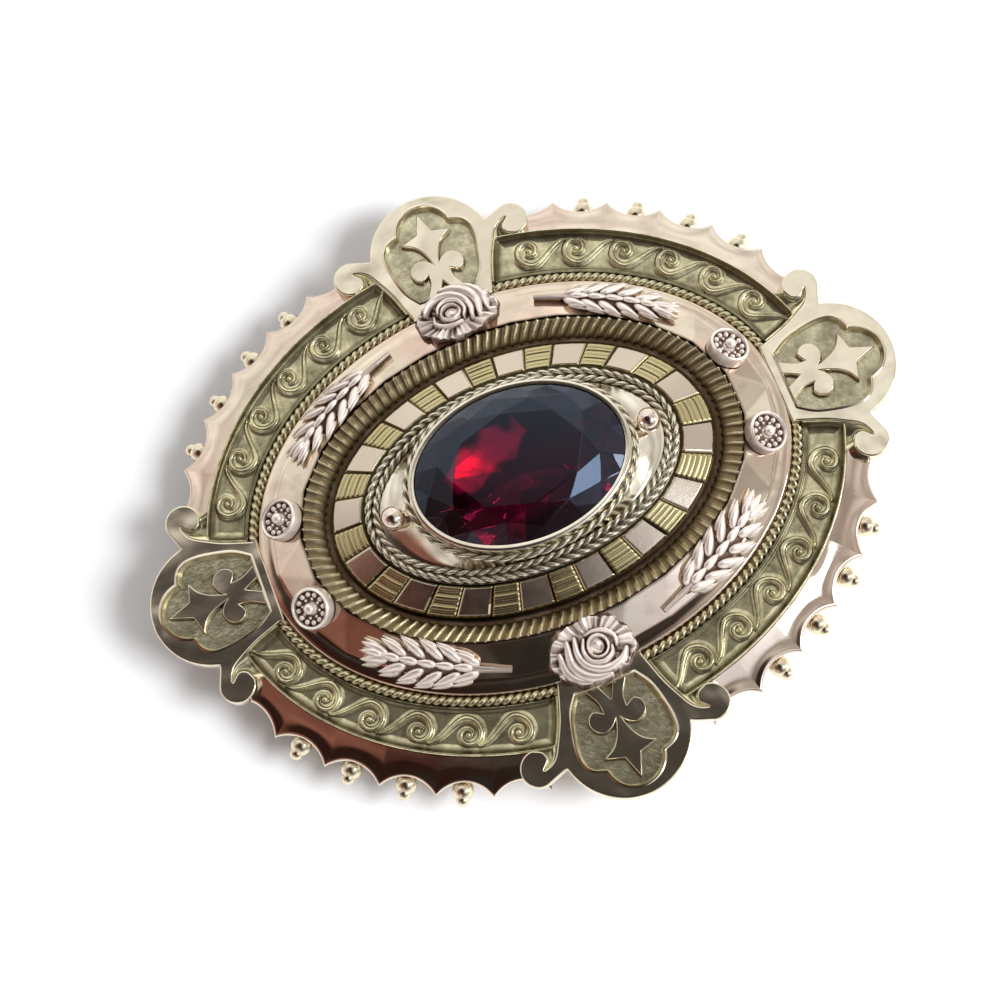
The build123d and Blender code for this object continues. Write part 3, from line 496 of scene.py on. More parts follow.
def oval_path(oval, spacing, first=0.0, last=None):
    """Points, normals and distances of an oval or a stretch of it, about a spacing apart."""
    length = oval_length(oval)
    if last is None:
        count = int(length / spacing)
        distances = np.linspace(0, length, count, endpoint=False)
    else:
        count = int((last - first) / spacing)
        distances = np.linspace(first, last, count)
    turns = turns_at(oval, distances)
    return oval_points(oval, turns), oval_normals(oval, turns), distances


# Materials


class Value:
    """A shader socket that arithmetic works on: each operator adds a Math node."""

    def __init__(self, shader, socket):
        self.shader, self.socket = shader, socket

    def math(self, operation, *others):
        """A Math node's result for this value and others."""
        values = dict(enumerate((self, *others)))
        node = self.shader.add("ShaderNodeMath", {"operation": operation}, values)
        return Value(self.shader, node.outputs[0])

    def clipped(self):
        """The value kept between 0 and 1."""
        return self.math("MAXIMUM", 0.0).math("MINIMUM", 1.0)

    def __add__(self, other):
        return self.math("ADD", other)

    def __sub__(self, other):
        return self.math("SUBTRACT", other)

    def __rsub__(self, other):
        return (self * -1) + other

    def __mul__(self, other):
        return self.math("MULTIPLY", other)

    __radd__, __rmul__ = __add__, __mul__


class Shader:
    """A node tree, of a material round one Principled BSDF or of the world."""

    def __init__(self, owner):
        owner.use_nodes = True
        self.tree = owner.node_tree
        self.tree.nodes.clear()
        self.material = owner
        if isinstance(owner, bpy.types.Material):
            self.surface = self.add("ShaderNodeBsdfPrincipled")
            self.add("ShaderNodeOutputMaterial", {}, {"Surface": Value(self, self.surface.outputs[0])})

    def add(self, kind, settings=None, sockets=None):
        """One node: its settings first, a ramp's stops among them, then its sockets."""
        node = self.tree.nodes.new(kind)
        for key, value in (settings or {}).items():
            if key == "stops":
                ramp = node.color_ramp
                while len(ramp.elements) < len(value):
                    ramp.elements.new(0.5)
                for element, (place, tone) in zip(ramp.elements, value):
                    element.position, element.color = place, tone
            else:
                setattr(node, key, value)
        for key, value in (sockets or {}).items():
            if isinstance(value, Value):
                self.tree.links.new(value.socket, node.inputs[key])
            else:
                node.inputs[key].default_value = value
        return node

    def set(self, **sockets):
        """Values or links of the Principled BSDF's sockets, with _ for the spaces."""
        for key, value in sockets.items():
            socket = self.surface.inputs[key.replace("_", " ")]
            if isinstance(value, Value):
                self.tree.links.new(value.socket, socket)
            else:
                socket.default_value = value

    def direction(self):
        """The direction in which the world is seen."""
        return Value(self, self.add("ShaderNodeTexCoord").outputs["Generated"])

    def place(self):
        """Object coordinates."""
        return Value(self, self.add("ShaderNodeTexCoord").outputs["Object"])

    def attribute(self, name):
        """A number stored on the mesh."""
        return Value(self, self.add("ShaderNodeAttribute", {"attribute_name": name}).outputs["Fac"])

    def noise(self, size, detail=3.0, roughness=0.55):
        """Noise whose features are about size millimetres."""
        sockets = {"Vector": self.place(), "Scale": 1 / (size * MILLIMETRE)}
        sockets |= {"Detail": detail, "Roughness": roughness}
        return Value(self, self.add("ShaderNodeTexNoise", {}, sockets).outputs["Fac"])

    def cells(self, size):
        """Distance to the nearest of scattered points about size millimetres apart."""
        sockets = {"Vector": self.place(), "Scale": 1 / (size * MILLIMETRE)}
        return Value(self, self.add("ShaderNodeTexVoronoi", {}, sockets).outputs["Distance"])

    def mix(self, share, first, second):
        """Colour mix from first to second."""
        node = self.add("ShaderNodeMix", {"data_type": "RGBA"}, {"Factor": share, 6: first, 7: second})
        return Value(self, node.outputs[2])

    def bump(self, height, depth=1.0):
        """The normal of a relief: a height from 0 to 1 times a depth in millimetres."""
        sockets = {"Height": height, "Distance": depth * MILLIMETRE}
        return Value(self, self.add("ShaderNodeBump", {}, sockets).outputs["Normal"])


def gold(name, bright, dull, rough, grain=0.003, streak=0.25, stain=None, metallic=1.0, wave=0.0):
    """Gold alloy: bright where the mesh's polish is 1 and dull where it is 0, and as rough there
    as the two numbers of rough say. Where the polish stands in for light, the bright colour is
    painted highlight and the dull one painted shade. Blotches move the polish by a share streak,
    a stain is a second bright colour in broad patches, and in relief there are a fine grain and
    slow waves, with their depths in millimetres."""
    shader = Shader(bpy.data.materials.new(name))
    polish_rough, dull_rough = rough
    polish = shader.attribute("polish")
    blotches = shader.noise(1.6, 3.0)
    fine = shader.noise(0.3, 2.0)
    if stain is not None:
        broad = ((shader.noise(5.5, 3.0) - 0.45) * 4.0).clipped()
        bright = shader.mix(broad, bright, stain)
    share = (polish + (blotches - 0.5) * streak).clipped()
    shader.set(
        Base_Color=shader.mix(share, dull, bright),
        Metallic=metallic,
        Roughness=dull_rough - (dull_rough - polish_rough) * share + (blotches - 0.5) * 0.06,
        Normal=shader.bump(fine * grain + shader.noise(2.2, 1.0) * wave),
    )
    return shader.material


def three_toned(name, pale, middle, dark, rough):
    """Gold in three tones by the mesh's polish: dark where 0, middle at a half, pale from 0.8."""
    shader = Shader(bpy.data.materials.new(name))
    blotches = shader.noise(0.9, 3.0)
    share = (shader.attribute("polish") + (blotches - 0.5) * 0.12).clipped()
    ramp = {"stops": [(0.0, dark), (0.5, middle), (0.8, pale)]}
    tone = shader.add("ShaderNodeValToRGB", ramp, {"Fac": share})
    shader.set(
        Base_Color=Value(shader, tone.outputs["Color"]),
        Metallic=1.0,
        Roughness=rough + (blotches - 0.5) * 0.15,
        Normal=shader.bump(shader.noise(0.35, 2.0), 0.004),
    )
    return shader.material


def stippled(name, bright, dull, rough, base, dot_depth):
    """Gold with a rough cast ground where the mesh's polish is 0, smooth where it is 1. The
    ground's tone is a base share of the bright one, with irregular blotches. A low polish is in
    places painted shade."""
    shader = Shader(bpy.data.materials.new(name))
    polish_rough, dull_rough = rough
    polish = shader.attribute("polish")
    blotches = shader.noise(1.0, 5.0, 0.65)
    relief = shader.noise(0.3, 5.0, 0.65) * (1 - polish)
    share = ((polish + (1 - polish) * base) * (1 + (blotches - 0.5) * 3.2)).clipped()
    shader.set(
        Base_Color=shader.mix(share, dull, bright),
        Metallic=0.9,
        Roughness=dull_rough - (dull_rough - polish_rough) * share,
        Normal=shader.bump(relief, dot_depth),
    )
    return shader.material


def plain_metal(name, bright, rough):
    """One gold all over, for a solid that has no polish of its own stored."""
    shader = Shader(bpy.data.materials.new(name))
    blotches = shader.noise(1.5, 3.0)
    shader.set(
        Base_Color=bright,
        Metallic=1.0,
        Roughness=rough + (blotches - 0.5) * 0.08,
        Normal=shader.bump(shader.noise(0.12, 2.0), 0.004),
    )
    return shader.material


def garnet_glass(name):
    """Deep red glass with patches of painted light, glowing crimson. A patch's share falls steeply
    from 1 to nothing at its end, a share of its reach, and cells some 1.3 mm apart break up its edge."""
    shader = Shader(bpy.data.materials.new(name))
    patch_end, steepness, cell_size, cell_middle, cell_share = 1.25, 3.0, 1.3, 0.45, 0.9
    broken = (shader.cells(cell_size) - cell_middle) * cell_share
    tone = deep_red
    for centre, reach, angle, bright in garnet_glow_patches:
        sockets = {
            "Vector": shader.place(),
            "Location": tuple(c * MILLIMETRE for c in centre),
            "Rotation": (0, 0, math.radians(angle)),
            "Scale": tuple(r * MILLIMETRE for r in reach),
        }
        centred = shader.add("ShaderNodeMapping", {"vector_type": "TEXTURE"}, sockets)
        centred = Value(shader, centred.outputs[0])
        size = shader.add("ShaderNodeVectorMath", {"operation": "LENGTH"}, {0: centred})
        near = patch_end - Value(shader, size.outputs["Value"]) + broken
        tone = shader.mix((near * steepness).clipped(), tone, bright)
    shader.set(
        Base_Color=tone,
        Roughness=0.02,
        IOR=1.76,
        Transmission_Weight=0.9,
        Specular_Tint=colour(0.5, 0.64, 0.85),
    )
    return shader.material


# The metals: a bright and a dull colour, and how rough each of the two is
dome_gold = gold(
    "dome_gold",
    colour(0.82, 0.71, 0.56),
    colour(0.13, 0.08, 0.05),
    (0.09, 0.4),
    grain=0.001,
    streak=1.0,
    stain=colour(0.84, 0.63, 0.51),
    wave=0.03,
)
flange_gold = gold(
    "flange_gold",
    colour(0.80, 0.69, 0.56),
    colour(0.22, 0.10, 0.07),
    (0.08, 0.2),
    grain=0.001,
    streak=0.8,
    stain=colour(0.84, 0.63, 0.52),
    wave=0.03,
)
lobe_gold = gold(
    "lobe_gold",
    colour(0.90, 0.81, 0.64),
    colour(0.25, 0.19, 0.11),
    (0.13, 0.32),
    grain=0.001,
    streak=0.8,
    wave=0.08,
)
red_gold = gold(
    "red_gold",
    colour(0.98, 0.89, 0.82),
    colour(0.17, 0.105, 0.08),
    (0.28, 0.4),
    grain=0.001,
    metallic=0.72,
)
antique_gold = gold("antique_gold", colour(0.86, 0.75, 0.52), colour(0.16, 0.11, 0.045), (0.26, 0.5))
rope_gold = gold(
    "rope_gold", colour(0.97, 0.91, 0.74), colour(0.13, 0.10, 0.045), (0.16, 0.4), metallic=0.9
)
wire_gold = gold("wire_gold", colour(0.80, 0.73, 0.48), colour(0.3, 0.25, 0.13), (0.28, 0.4))
pale_gold = gold(
    "pale_gold",
    colour(0.92, 0.85, 0.70),
    colour(0.30, 0.20, 0.13),
    (0.16, 0.3),
    grain=0.004,
    streak=0.9,
)
channel_gold = stippled(
    "channel_gold",
    colour(0.90, 0.84, 0.54),
    colour(0.08, 0.06, 0.025),
    (0.16, 0.24),
    base=0.0,
    dot_depth=0.009,
)
ground_gold = stippled(
    "ground_gold",
    colour(0.87, 0.82, 0.57),
    colour(0.15, 0.12, 0.06),
    (0.16, 0.28),
    base=0.55,
    dot_depth=0.02,
)
panel_gold = three_toned(
    "panel_gold",
    colour(0.72, 0.61, 0.49),
    colour(0.64, 0.55, 0.29),
    colour(0.05, 0.035, 0.015),
    0.26,
)
granule_gold = plain_metal("granule_gold", colour(0.82, 0.73, 0.54), 0.22)
grain_gold = plain_metal("grain_gold", colour(0.90, 0.77, 0.68), 0.1)
plate_gold = plain_metal("plate_gold", colour(0.76, 0.56, 0.42), 0.28)


# The stone


def cut_stone():
    """Oval brilliant: a round one's corners, in rings of 8, 16 and 32, stretched to the stone. A
    ring's radius is a share of the girdle's, and the crown's and pavilion's main facets are
    flat, so that a ring half a facet round lies at the radius times cos(22.5 degrees)."""
    top, bottom = girdle_height + girdle_thickness / 2, girdle_height - girdle_thickness / 2
    middle_radius, upper_radius, lower_radius = 0.76, 0.87, 0.26
    upper_rise_share, edge_softening = 0.44, 0.035
    half_facet = math.pi / 8
    eighths, sixteenths = np.arange(8) * math.pi / 4, np.arange(16) * math.pi / 8
    thirty_seconds = np.arange(32) * math.pi / 16
    drop = math.cos(half_facet)
    middle_rise = crown_height * (1 - middle_radius * drop) / (1 - table_share)
    lower_fall = pavilion_depth * (1 - lower_radius * drop)

    def corners(radius, angles, height):
        """A ring of corners at a share of the girdle's radius."""
        oval = (radius * stone_edge[0], radius * stone_edge[1])
        return at_height(oval_points(oval, angles), height)

    rings = [
        corners(table_share, eighths, top + crown_height),
        corners(middle_radius, eighths + half_facet, top + middle_rise),
        corners(upper_radius, sixteenths, top + crown_height * upper_rise_share),
        corners(1.0, thirty_seconds, top),
        corners(1.0, thirty_seconds, bottom),
        corners(lower_radius, eighths + half_facet, bottom - lower_fall),
        np.array([[0, 0, bottom - pavilion_depth]]),
    ]
    starts = np.cumsum([0] + [len(corner_ring) for corner_ring in rings[:-1]])
    table, middle, upper, rim, under_rim, lower, culet = starts
    k, j, i = np.arange(8), np.arange(16), np.arange(32)
    before, after = (k - 1) % 8, (k + 1) % 8
    body = Body()
    body.add(np.vstack(rings), table + k[None], 1.0)
    rows = [
        (table + k, table + after, middle + k),
        (middle + k, upper + 2 * k, upper + 2 * k + 1),
        (middle + k, upper + 2 * k + 1, upper + 2 * after),
        (upper + j, rim + (2 * j - 1) % 32, rim + 2 * j),
        (upper + j, rim + 2 * j, rim + 2 * j + 1),
        (upper + j, rim + 2 * j + 1, upper + (j + 1) % 16),
        *((lower + k, under_rim + (4 * k + n + 1) % 32, under_rim + 4 * k + n) for n in range(4)),
        (table + k, middle + k, upper + 2 * k, middle + before),
        (culet + 0 * k, lower + k, under_rim + 4 * k, lower + before),
        (rim + i, under_rim + i, under_rim + (i + 1) % 32, rim + (i + 1) % 32),
    ]
    for row in rows:
        faces = np.stack(row, -1)
        body.corners.append(faces.reshape(-1))
        body.sizes.append(np.full(len(faces), faces.shape[1]))
    stone = body.piece("cut_garnet", garnet_glass("garnet"), ["garnet"], sharp=4.0)
    softened = stone.modifiers.new("soft_edges", "BEVEL")
    softened.width, softened.segments = edge_softening * MILLIMETRE, 2
    softened.limit_method, softened.angle_limit = "ANGLE", math.radians(4)


# Rings from the stone outwards


def plain_ring(name, corners, radius, node):
    """A polished ring of one profile with rounded corners."""
    body = Body()
    turns = np.linspace(0, 2 * math.pi, 480, endpoint=False)
    body.grid(ring(rounded(corners, radius), turns), (True, True), 1.0)
    body.piece(name, pale_gold, [node])


def bezel_and_cove():
    """The bezel's wall with its rubbed-over lip, and the cove: its height above the foot falls
    with the share of the way out, as (1 - share) to the power 1.7."""
    lip = girdle_height + girdle_thickness / 2 + bezel_lip_rise
    under = girdle_height - girdle_thickness / 2 - gap
    ledge, ledge_fall, shoulder_fall, lip_fall = grow(stone_edge, -0.4), 0.36, 0.06, 0.02
    bezel = section(
        (bezel_edge, seat_height),
        (bezel_edge, lip - shoulder_fall),
        (grow(bezel_edge, -bezel_wall * 0.6), lip),
        (grow(bezel_bore, -bezel_lip), lip - lip_fall),
        (bezel_bore, lip - bezel_lip_rise),
        (bezel_bore, under),
        (ledge, under - ledge_fall),
        (ledge, seat_height),
    )
    plain_ring("bezel_wall", bezel, 0.04, "bezel")
    shares = np.linspace(0, 1, 14)
    heights = cove_foot_height + (cove_top_height - cove_foot_height) * (1 - shares) ** 1.7
    places = [grow(cove_inner, cove_breadth_long * s, cove_breadth_short * s) for s in shares]
    cove = section(
        (cove_inner, seat_height),
        *zip(places, heights),
        (cove_edge, cove_seat_height),
        (cove_seat_edge, cove_seat_height),
        (cove_seat_edge, seat_height),
    )
    plain_ring("cove_slope", cove, 0.02, "cove")


def ropes():
    """The leafy wire round the bezel, and two wires of opposite twist beside each other. A lay
    is made a whole number of times into the oval's length."""
    leafy = girdle_height - inner_rope_drop
    plait = cove_seat_height + gap * 2 + double_rope_wire / 2
    wires = (
        ("leafy_wire", "inner_rope", inner_rope_path, leafy, inner_rope_wire, 1.6, 0.55),
        ("plait_inner", "double_rope_inner", double_rope_inner, plait, double_rope_wire, 1.24, 0.5),
        ("plait_outer", "double_rope_outer", double_rope_outer, plait, double_rope_wire, -1.24, 0.5),
    )
    for name, node, oval, height, wire, lay, depth in wires:
        length = oval_length(oval)
        lay = length / round(length / lay)
        # bright is painted highlight on the strands' crests and painted shade between them
        points, bright = twisted(oval_path(oval, 0.06), height, wire / 2, lay, depth, 12)
        body = Body()
        body.grid(points, (True, True), bright)
        body.piece(name, rope_gold, [node], sharp=60)


def foot_rows(turns, inner, outer):
    """The foot of a ring's two walls, under its inner and then its outer edge."""
    edges = (oval_points(inner, turns[:, -1]), oval_points(outer, turns[:, 0]))
    return np.stack([at_height(edge, seat_height) for edge in edges], 1)


def panel_fields():
    """Sloping ring in equal fields, by turns a raised square and a block of fine lines. Its top
    is the slope plus a relief of the place along and across: a smooth step of the distance to a
    square's or block's edge, and in the block |cos| hollows across, to the power 0.6."""
    per_field, across = 22, 46
    square_spread, square_margin, square_bevel = 0.06, 0.04, (0.08, 0.2)
    block_half, block_margin, block_bevel = 0.78, 0.1, (0.0, 0.09)
    block_share, line_count, line_depth = 0.75, 7, 0.055
    block_polish, line_hollow_shade = 0.55, 0.3
    count = panel_count * 2 * per_field
    middle = grow(panel_ring_inner, panel_ring_breadth_long / 2, panel_ring_breadth_short / 2)
    length = oval_length(middle)
    distances = np.arange(count) * length / count
    turns = turns_at(middle, distances)[:, None]
    shares = np.linspace(0, 1, across)[None]
    along = (distances[:, None] / (length / panel_count) + 0.25) % 1 - 0.25
    block_offset = np.abs(along) * length / panel_count
    square_offset = np.abs(along - 0.5) * length / panel_count
    edge = np.minimum(shares, 1 - shares) * panel_ring_breadth_short
    square_edge = np.minimum(panel_length / 2 + square_spread - square_offset, edge - square_margin)
    square = smoothstep(*square_bevel, square_edge)
    block = smoothstep(*block_bevel, np.minimum(block_half - block_offset, edge - block_margin))
    hollows = 1 - np.abs(np.cos(math.pi * line_count * shares)) ** 0.6
    relief = panel_rise * square + block * (panel_rise * block_share - line_depth * hollows)
    long_half = panel_ring_edge[0] - panel_ring_breadth_long * shares
    short_half = panel_ring_edge[1] - panel_ring_breadth_short * shares
    slope = panel_ring_outer_height + (panel_ring_inner_height - panel_ring_outer_height) * shares
    top = np.stack([long_half * np.cos(turns), short_half * np.sin(turns), slope + relief], -1)
    feet = foot_rows(turns, panel_ring_inner, panel_ring_edge)
    # Squares pale, blocks middle; painted shade darkens the lines' hollows and the low ground between
    # fields
    bright = np.maximum(square, block * (block_polish - line_hollow_shade * hollows))
    polish = np.hstack([bright, np.zeros((count, 2))])
    body = Body()
    body.grid(np.concatenate([top, feet], 1), (True, True), polish)
    body.piece("panel_fields", panel_gold, ["panel_ring"], sharp=55)


def milled():
    """Leaning ridges on a rounded band: the band's height by its share of the way in, less a
    hollow of |sin| of the ridges' phase to the power 0.75, so that crests are narrow. The crests
    are painted bright as a highlight, the hollows and the inner edge dark as painted shade."""
    per_ridge, across, tuck = 10, 18, 0.12
    hollow_depth = 1.3 * milling_depth
    band = ((0, -0.3), (0.03, -0.1), (0.1, 0.0), (0.5, -0.16), (0.8, -0.4), (0.93, -0.55), (1, -0.7))
    places, falls = np.array(band).T
    count = milling_count * per_ridge
    length = oval_length(milled_edge)
    distances = np.arange(count) * length / count
    turns = turns_at(milled_edge, distances)[:, None]
    shares = np.linspace(0, 1, across)[None]
    ridge = 1 - np.abs(np.sin(math.pi * milling_count * distances[:, None] / length)) ** 0.75
    height = milled_outer_height + np.interp(shares, places, falls) - hollow_depth * (1 - ridge)
    turned = turns + milling_lean * shares * 2 * math.pi / length
    inner = grow(milled_inner, -tuck)
    long_half = milled_edge[0] + (inner[0] - milled_edge[0]) * shares
    short_half = milled_edge[1] + (inner[1] - milled_edge[1]) * shares
    top = np.stack([long_half * np.cos(turned), short_half * np.sin(turned), height], -1)
    feet = foot_rows(turned, inner, milled_edge)
    # Painted highlight on the narrow crests, painted shade in the hollows and toward the inner edge
    crest = (0.12 + 0.88 * smoothstep(0.15, 0.6, ridge)) * (1 - smoothstep(0.6, 1.0, shares))
    body = Body()
    body.grid(np.concatenate([top, feet], 1), (True, True), np.hstack([crest, np.zeros((count, 2))]))
    body.piece("ridged_ring", antique_gold, ["milled_ring"], sharp=70)


def dome():
    """Dome: a plain band, then a slope of broad flat triangles whose corners lie by turns on
    the shoulder and on the inner edge. A place in one is the mean of its corners, weighted by
    the shares that the distances from its sides give."""
    triangle_count, per_triangle = 26, 30
    count = triangle_count * per_triangle
    place = np.arange(count)[:, None] / per_triangle
    length_low, length_high = oval_length(dome_shoulder), oval_length(dome_inner)

    def corner(oval, length, number):
        """The corner of a number on an oval, with the height left at 0."""
        turns = turns_at(oval, number / triangle_count * length)
        return np.concatenate([oval_points(oval, turns), np.zeros(turns.shape + (1,))], -1)

    shares = np.linspace(0, 1, 12)[None]
    index, offset = np.floor(place), place % 1
    low, low_next = (corner(dome_shoulder, length_low, index + k) for k in (0, 1))
    high, high_before, high_next = (
        corner(dome_inner, length_high, index + k) for k in (0.5, -0.5, 1.5)
    )
    s, x = shares[..., None], (offset + 0 * shares)[..., None]
    rising = (1 - s - (x - s / 2)) * low + (x - s / 2) * low_next + s * high
    left = (1 - s) * low + (s / 2 - x) * high_before + (s / 2 + x) * high
    right = (1 - s) * low_next + (s / 2 - 1 + x) * high_next + (s / 2 + 1 - x) * high
    slope = np.where(x < s / 2, left, np.where(x > 1 - s / 2, right, rising))
    slope[..., 2] = dome_band_top + (dome_top_height - dome_band_top) * shares
    tray_opening, wall_inside = grow(stone_edge, -0.9), grow(dome_edge, -dome_wall)
    outline = section(
        (dome_inner, tray_height),
        (tray_opening, tray_height),
        (tray_opening, tray_height - tray_thickness),
        (grow(dome_inner, -dome_wall / 2), tray_height - tray_thickness),
        (wall_inside, dome_foot_height - dome_wall),
        (wall_inside, plate_height),
        (dome_edge, plate_height),
        (dome_edge, dome_foot_height - 0.12),
        (grow(dome_edge, -0.035), dome_foot_height - 0.035),
        (grow(dome_edge, -0.12), dome_foot_height),
        (grow(dome_shoulder, 0.06), dome_band_top + 0.01),
    )
    rest = ring(outline, turns_at(dome_shoulder, place[:, 0] / triangle_count * length_low))
    # Painted shade: the dome's inner wall and the tray seen in the groove get polish 0 and are dark
    groove_shade_first, groove_shade_count = slope.shape[1] - 1, 7
    polish = np.ones(slope.shape[1] + len(outline))
    polish[groove_shade_first : groove_shade_first + groove_shade_count] = 0
    body = Body()
    body.grid(np.concatenate([slope, rest], 1), (True, True), polish)
    body.piece("dome_shell", dome_gold, ["dome_band"], sharp=50)


# Lobes, channels and flanges


def lobe_side_curve(axis):
    """A lobe's side from its foot to the horn's tip, as (along, across): a smooth curve through
    shares of the way along and of the way across."""
    shares = np.array(
        [(0.0, 0.0), (0.22, 0.12), (0.46, 0.26), (0.67, 0.43), (0.87, 0.62), (0.96, 0.8), (1.0, 1.0)]
    )
    foot, tip = dome_edge[axis], lobe_reach[axis] - horn_tip_back
    along = foot + (tip - foot) * shares[:, 0]
    across = lobe_base_half + (horn_tip_half - lobe_base_half) * shares[:, 1]
    return through(np.stack([along, across], -1), 10)


def eye_curve(axis):
    """The edge between the volute's eye and the horn, from the horn's tip to the volute."""
    volute_along = lobe_reach[axis] - volute_back
    rows = [
        (lobe_reach[axis] - horn_tip_back, horn_tip_half),
        (volute_along - volute_radius * 0.25, eye_clearance_half),
        (volute_along - volute_radius * 0.72, eye_clearance_half + volute_radius * 0.12),
        (volute_along - volute_radius, volute_half),
    ]
    return through(rows, 10)


def lobe_half_outline(axis):
    """Half of a lobe's outline, from the foot to the middle of its round end."""
    reach = lobe_reach[axis]
    side, eye = lobe_side_curve(axis), eye_curve(axis)
    cusp = (reach - lobe_cusp_back, math.sqrt(lobe_radius**2 - (lobe_radius - lobe_cusp_back) ** 2))
    centre = np.array((reach - volute_back, volute_half))
    outer = centre + volute_radius * math.sqrt(0.5)
    shoulder = (centre[0] + volute_radius, volute_half - volute_radius * 0.2)
    volute = arc_through(eye[-1], outer, shoulder, 26)
    neck = evenly(np.array([shoulder, cusp]), 0.15)
    round_end = arc_through(cusp, (reach, 0), (cusp[0], -cusp[1]), 61)[:31]
    foot = (dome_edge[axis] - 0.25, lobe_base_half)
    return np.vstack([[foot], side, eye[1:], volute[1:], neck[1:], round_end[1:]])


def whole(half):
    """A half outline with its mirror image, as a closed anticlockwise loop."""
    mirrored = half[::-1] * (1, -1)
    mirrored = mirrored[1:] if abs(half[-1, 1]) < 1e-9 else mirrored
    if abs(half[0, 1]) < 1e-9:
        mirrored = mirrored[:-1]
    return np.vstack([half, mirrored])[::-1]


def walls(body, loop, profile):
    """Strips round a loop, added to a body: for each row (inward distance, height, polish) the
    loop moved in. It returns the rows."""
    rows = [at_height(inset(loop, inward), height) for inward, height, _ in profile]
    marks = np.array([polish for _, _, polish in profile]) * np.ones((len(loop), 1))
    body.grid(np.stack(rows, 1), (True, False), marks)
    return rows


# Half outlines on a lobe, as shares (back from the tip, across) of their length and half breadth
recess_side = [
    (1.0, 0.625),
    (0.855, 0.84),
    (0.66, 0.96),
    (0.526, 1.0),
    (0.42, 0.975),
    (0.342, 0.84),
    (0.296, 0.595),
]
star_points = [(0.163, 0.0), (0.355, 0.28), (0.398, 0.92)]
star_stem = [(0.398, 0.92), (0.45, 0.55), (0.522, 0.32), (0.61, 0.17), (0.69, 0.07)]
leaf_outer = [
    (0.69, 0.07),
    (0.634, 0.27),
    (0.603, 0.56),
    (0.632, 0.85),
    (0.698, 0.99),
    (0.763, 0.92),
    (0.797, 0.74),
]
leaf_inner = [(0.797, 0.74), (0.778, 0.57), (0.75, 0.4)]
leg_outer = [(0.75, 0.4), (0.863, 0.46), (1.005, 0.78)]
leg_inner = [(1.005, 0.78), (1.005, 0.33), (0.842, 0.0)]


def on_lobe(shares, axis, length, half):
    """Shares (back from the tip, across) as points (along, across) of the plan."""
    shares = np.array(shares, float)
    return np.stack([lobe_reach[axis] - shares[:, 0] * length, shares[:, 1] * half], -1)


def recess_half_outline(axis):
    """Half of the tulip-shaped recess, from its foot to the middle of its front."""
    side = through(on_lobe(recess_side, axis, recess_length, recess_half), 8)
    end = side[-1]
    front = arc_through(end, (lobe_reach[axis] - recess_front, 0), end * (1, -1), 41)[:21]
    foot = evenly(np.array([(side[0, 0], 0), side[0]]), 0.2)
    return np.vstack([foot, side[1:], front[1:]])


def evenly_between(points, spacing):
    """A polyline's straight runs, each divided evenly and with its corners kept."""
    runs = [evenly(points[k : k + 2], spacing)[:-1] for k in range(len(points) - 1)]
    return np.vstack([*runs, points[-1:]])


def relief_half_outline(axis):
    """Half of the star on its leaves, from between the legs to the star's tip."""
    curves = []
    for shares, curved in (
        (star_points, False),
        (star_stem, True),
        (leaf_outer, True),
        (leaf_inner, True),
        (leg_outer, True),
        (leg_inner, False),
    ):
        points = on_lobe(shares, axis, relief_length, relief_half)
        curve = through(points, 8) if curved else evenly_between(points, 0.08)
        curves.append(curve[1:] if curves else curve)
    return np.vstack(curves)[::-1]


def lobe(name, angle):
    """A lobe turned to its angle: a plate with rounded edges, the sloping wall and floor of
    its recess, and the star with its leaves standing on the floor. Rows of a profile are
    distance inward from the outline, height and polish."""
    axis = angle // 90 % 2
    recess_floor, relief_top = lobe_top - recess_depth, lobe_top - relief_drop
    edge = [
        (0.0, plate_height, 0.9),
        (0.0, lobe_top - 0.1, 0.9),
        (0.025, lobe_top - 0.03, 1.0),
        (0.08, lobe_top, 1.0),
        (0.11, lobe_top, 1.0),
    ]
    # Down the recess wall the polish falls to the floor: painted shade in the recess
    lip = [
        (-0.1, lobe_top, 1.0),
        (-0.07, lobe_top, 1.0),
        (-0.03, lobe_top + 0.04, 1.0),
        (0.04, lobe_top + 0.04, 1.0),
        (0.09, lobe_top - 0.02, 0.8),
        (0.15, lobe_top - recess_depth * 0.7, 0.3),
        (0.22, recess_floor, 0.0),
        (0.27, recess_floor, 0.0),
    ]
    # The star's sides darken toward the floor: painted shade at its foot
    rise = [
        (-0.1, recess_floor - 0.02, 0.0),
        (-0.05, relief_top - 0.14, 0.5),
        (-0.01, relief_top - 0.03, 1.0),
        (0.02, relief_top, 1.0),
        (0.04, relief_top, 1.0),
    ]
    body = Body()
    rim = walls(body, whole(lobe_half_outline(axis)), edge)
    body.cap([rim[0]], 0.8)
    wall = walls(body, whole(recess_half_outline(axis)), lip)
    body.cap([rim[-1], wall[0]], 1.0)
    body.cap([wall[-1]], 0.0)
    plate = body.piece(f"lobe_plate_{name}", lobe_gold, [f"lobe_{name}"], sharp=50)
    figure = Body()
    rows = walls(figure, whole(relief_half_outline(axis)), rise)
    figure.cap([rows[-1]], 1.0)
    figure.cap([rows[0]], 0.0)
    star = figure.piece(f"lobe_star_{name}", lobe_gold, [f"lobe_{name}"], sharp=50)
    for made in (plate, star):
        made.data.transform(Matrix.Rotation(math.radians(angle), 4, "Z"))
    plate.data.materials.append(ground_gold)
    faces = plate.data.polygons
    sunk = np.array([face.center.z for face in faces]) < (lobe_top - 0.05) * MILLIMETRE
    facing = np.array([face.normal.z for face in faces]) > 0.2
    faces.foreach_set("material_index", (sunk & facing).astype(np.int32))


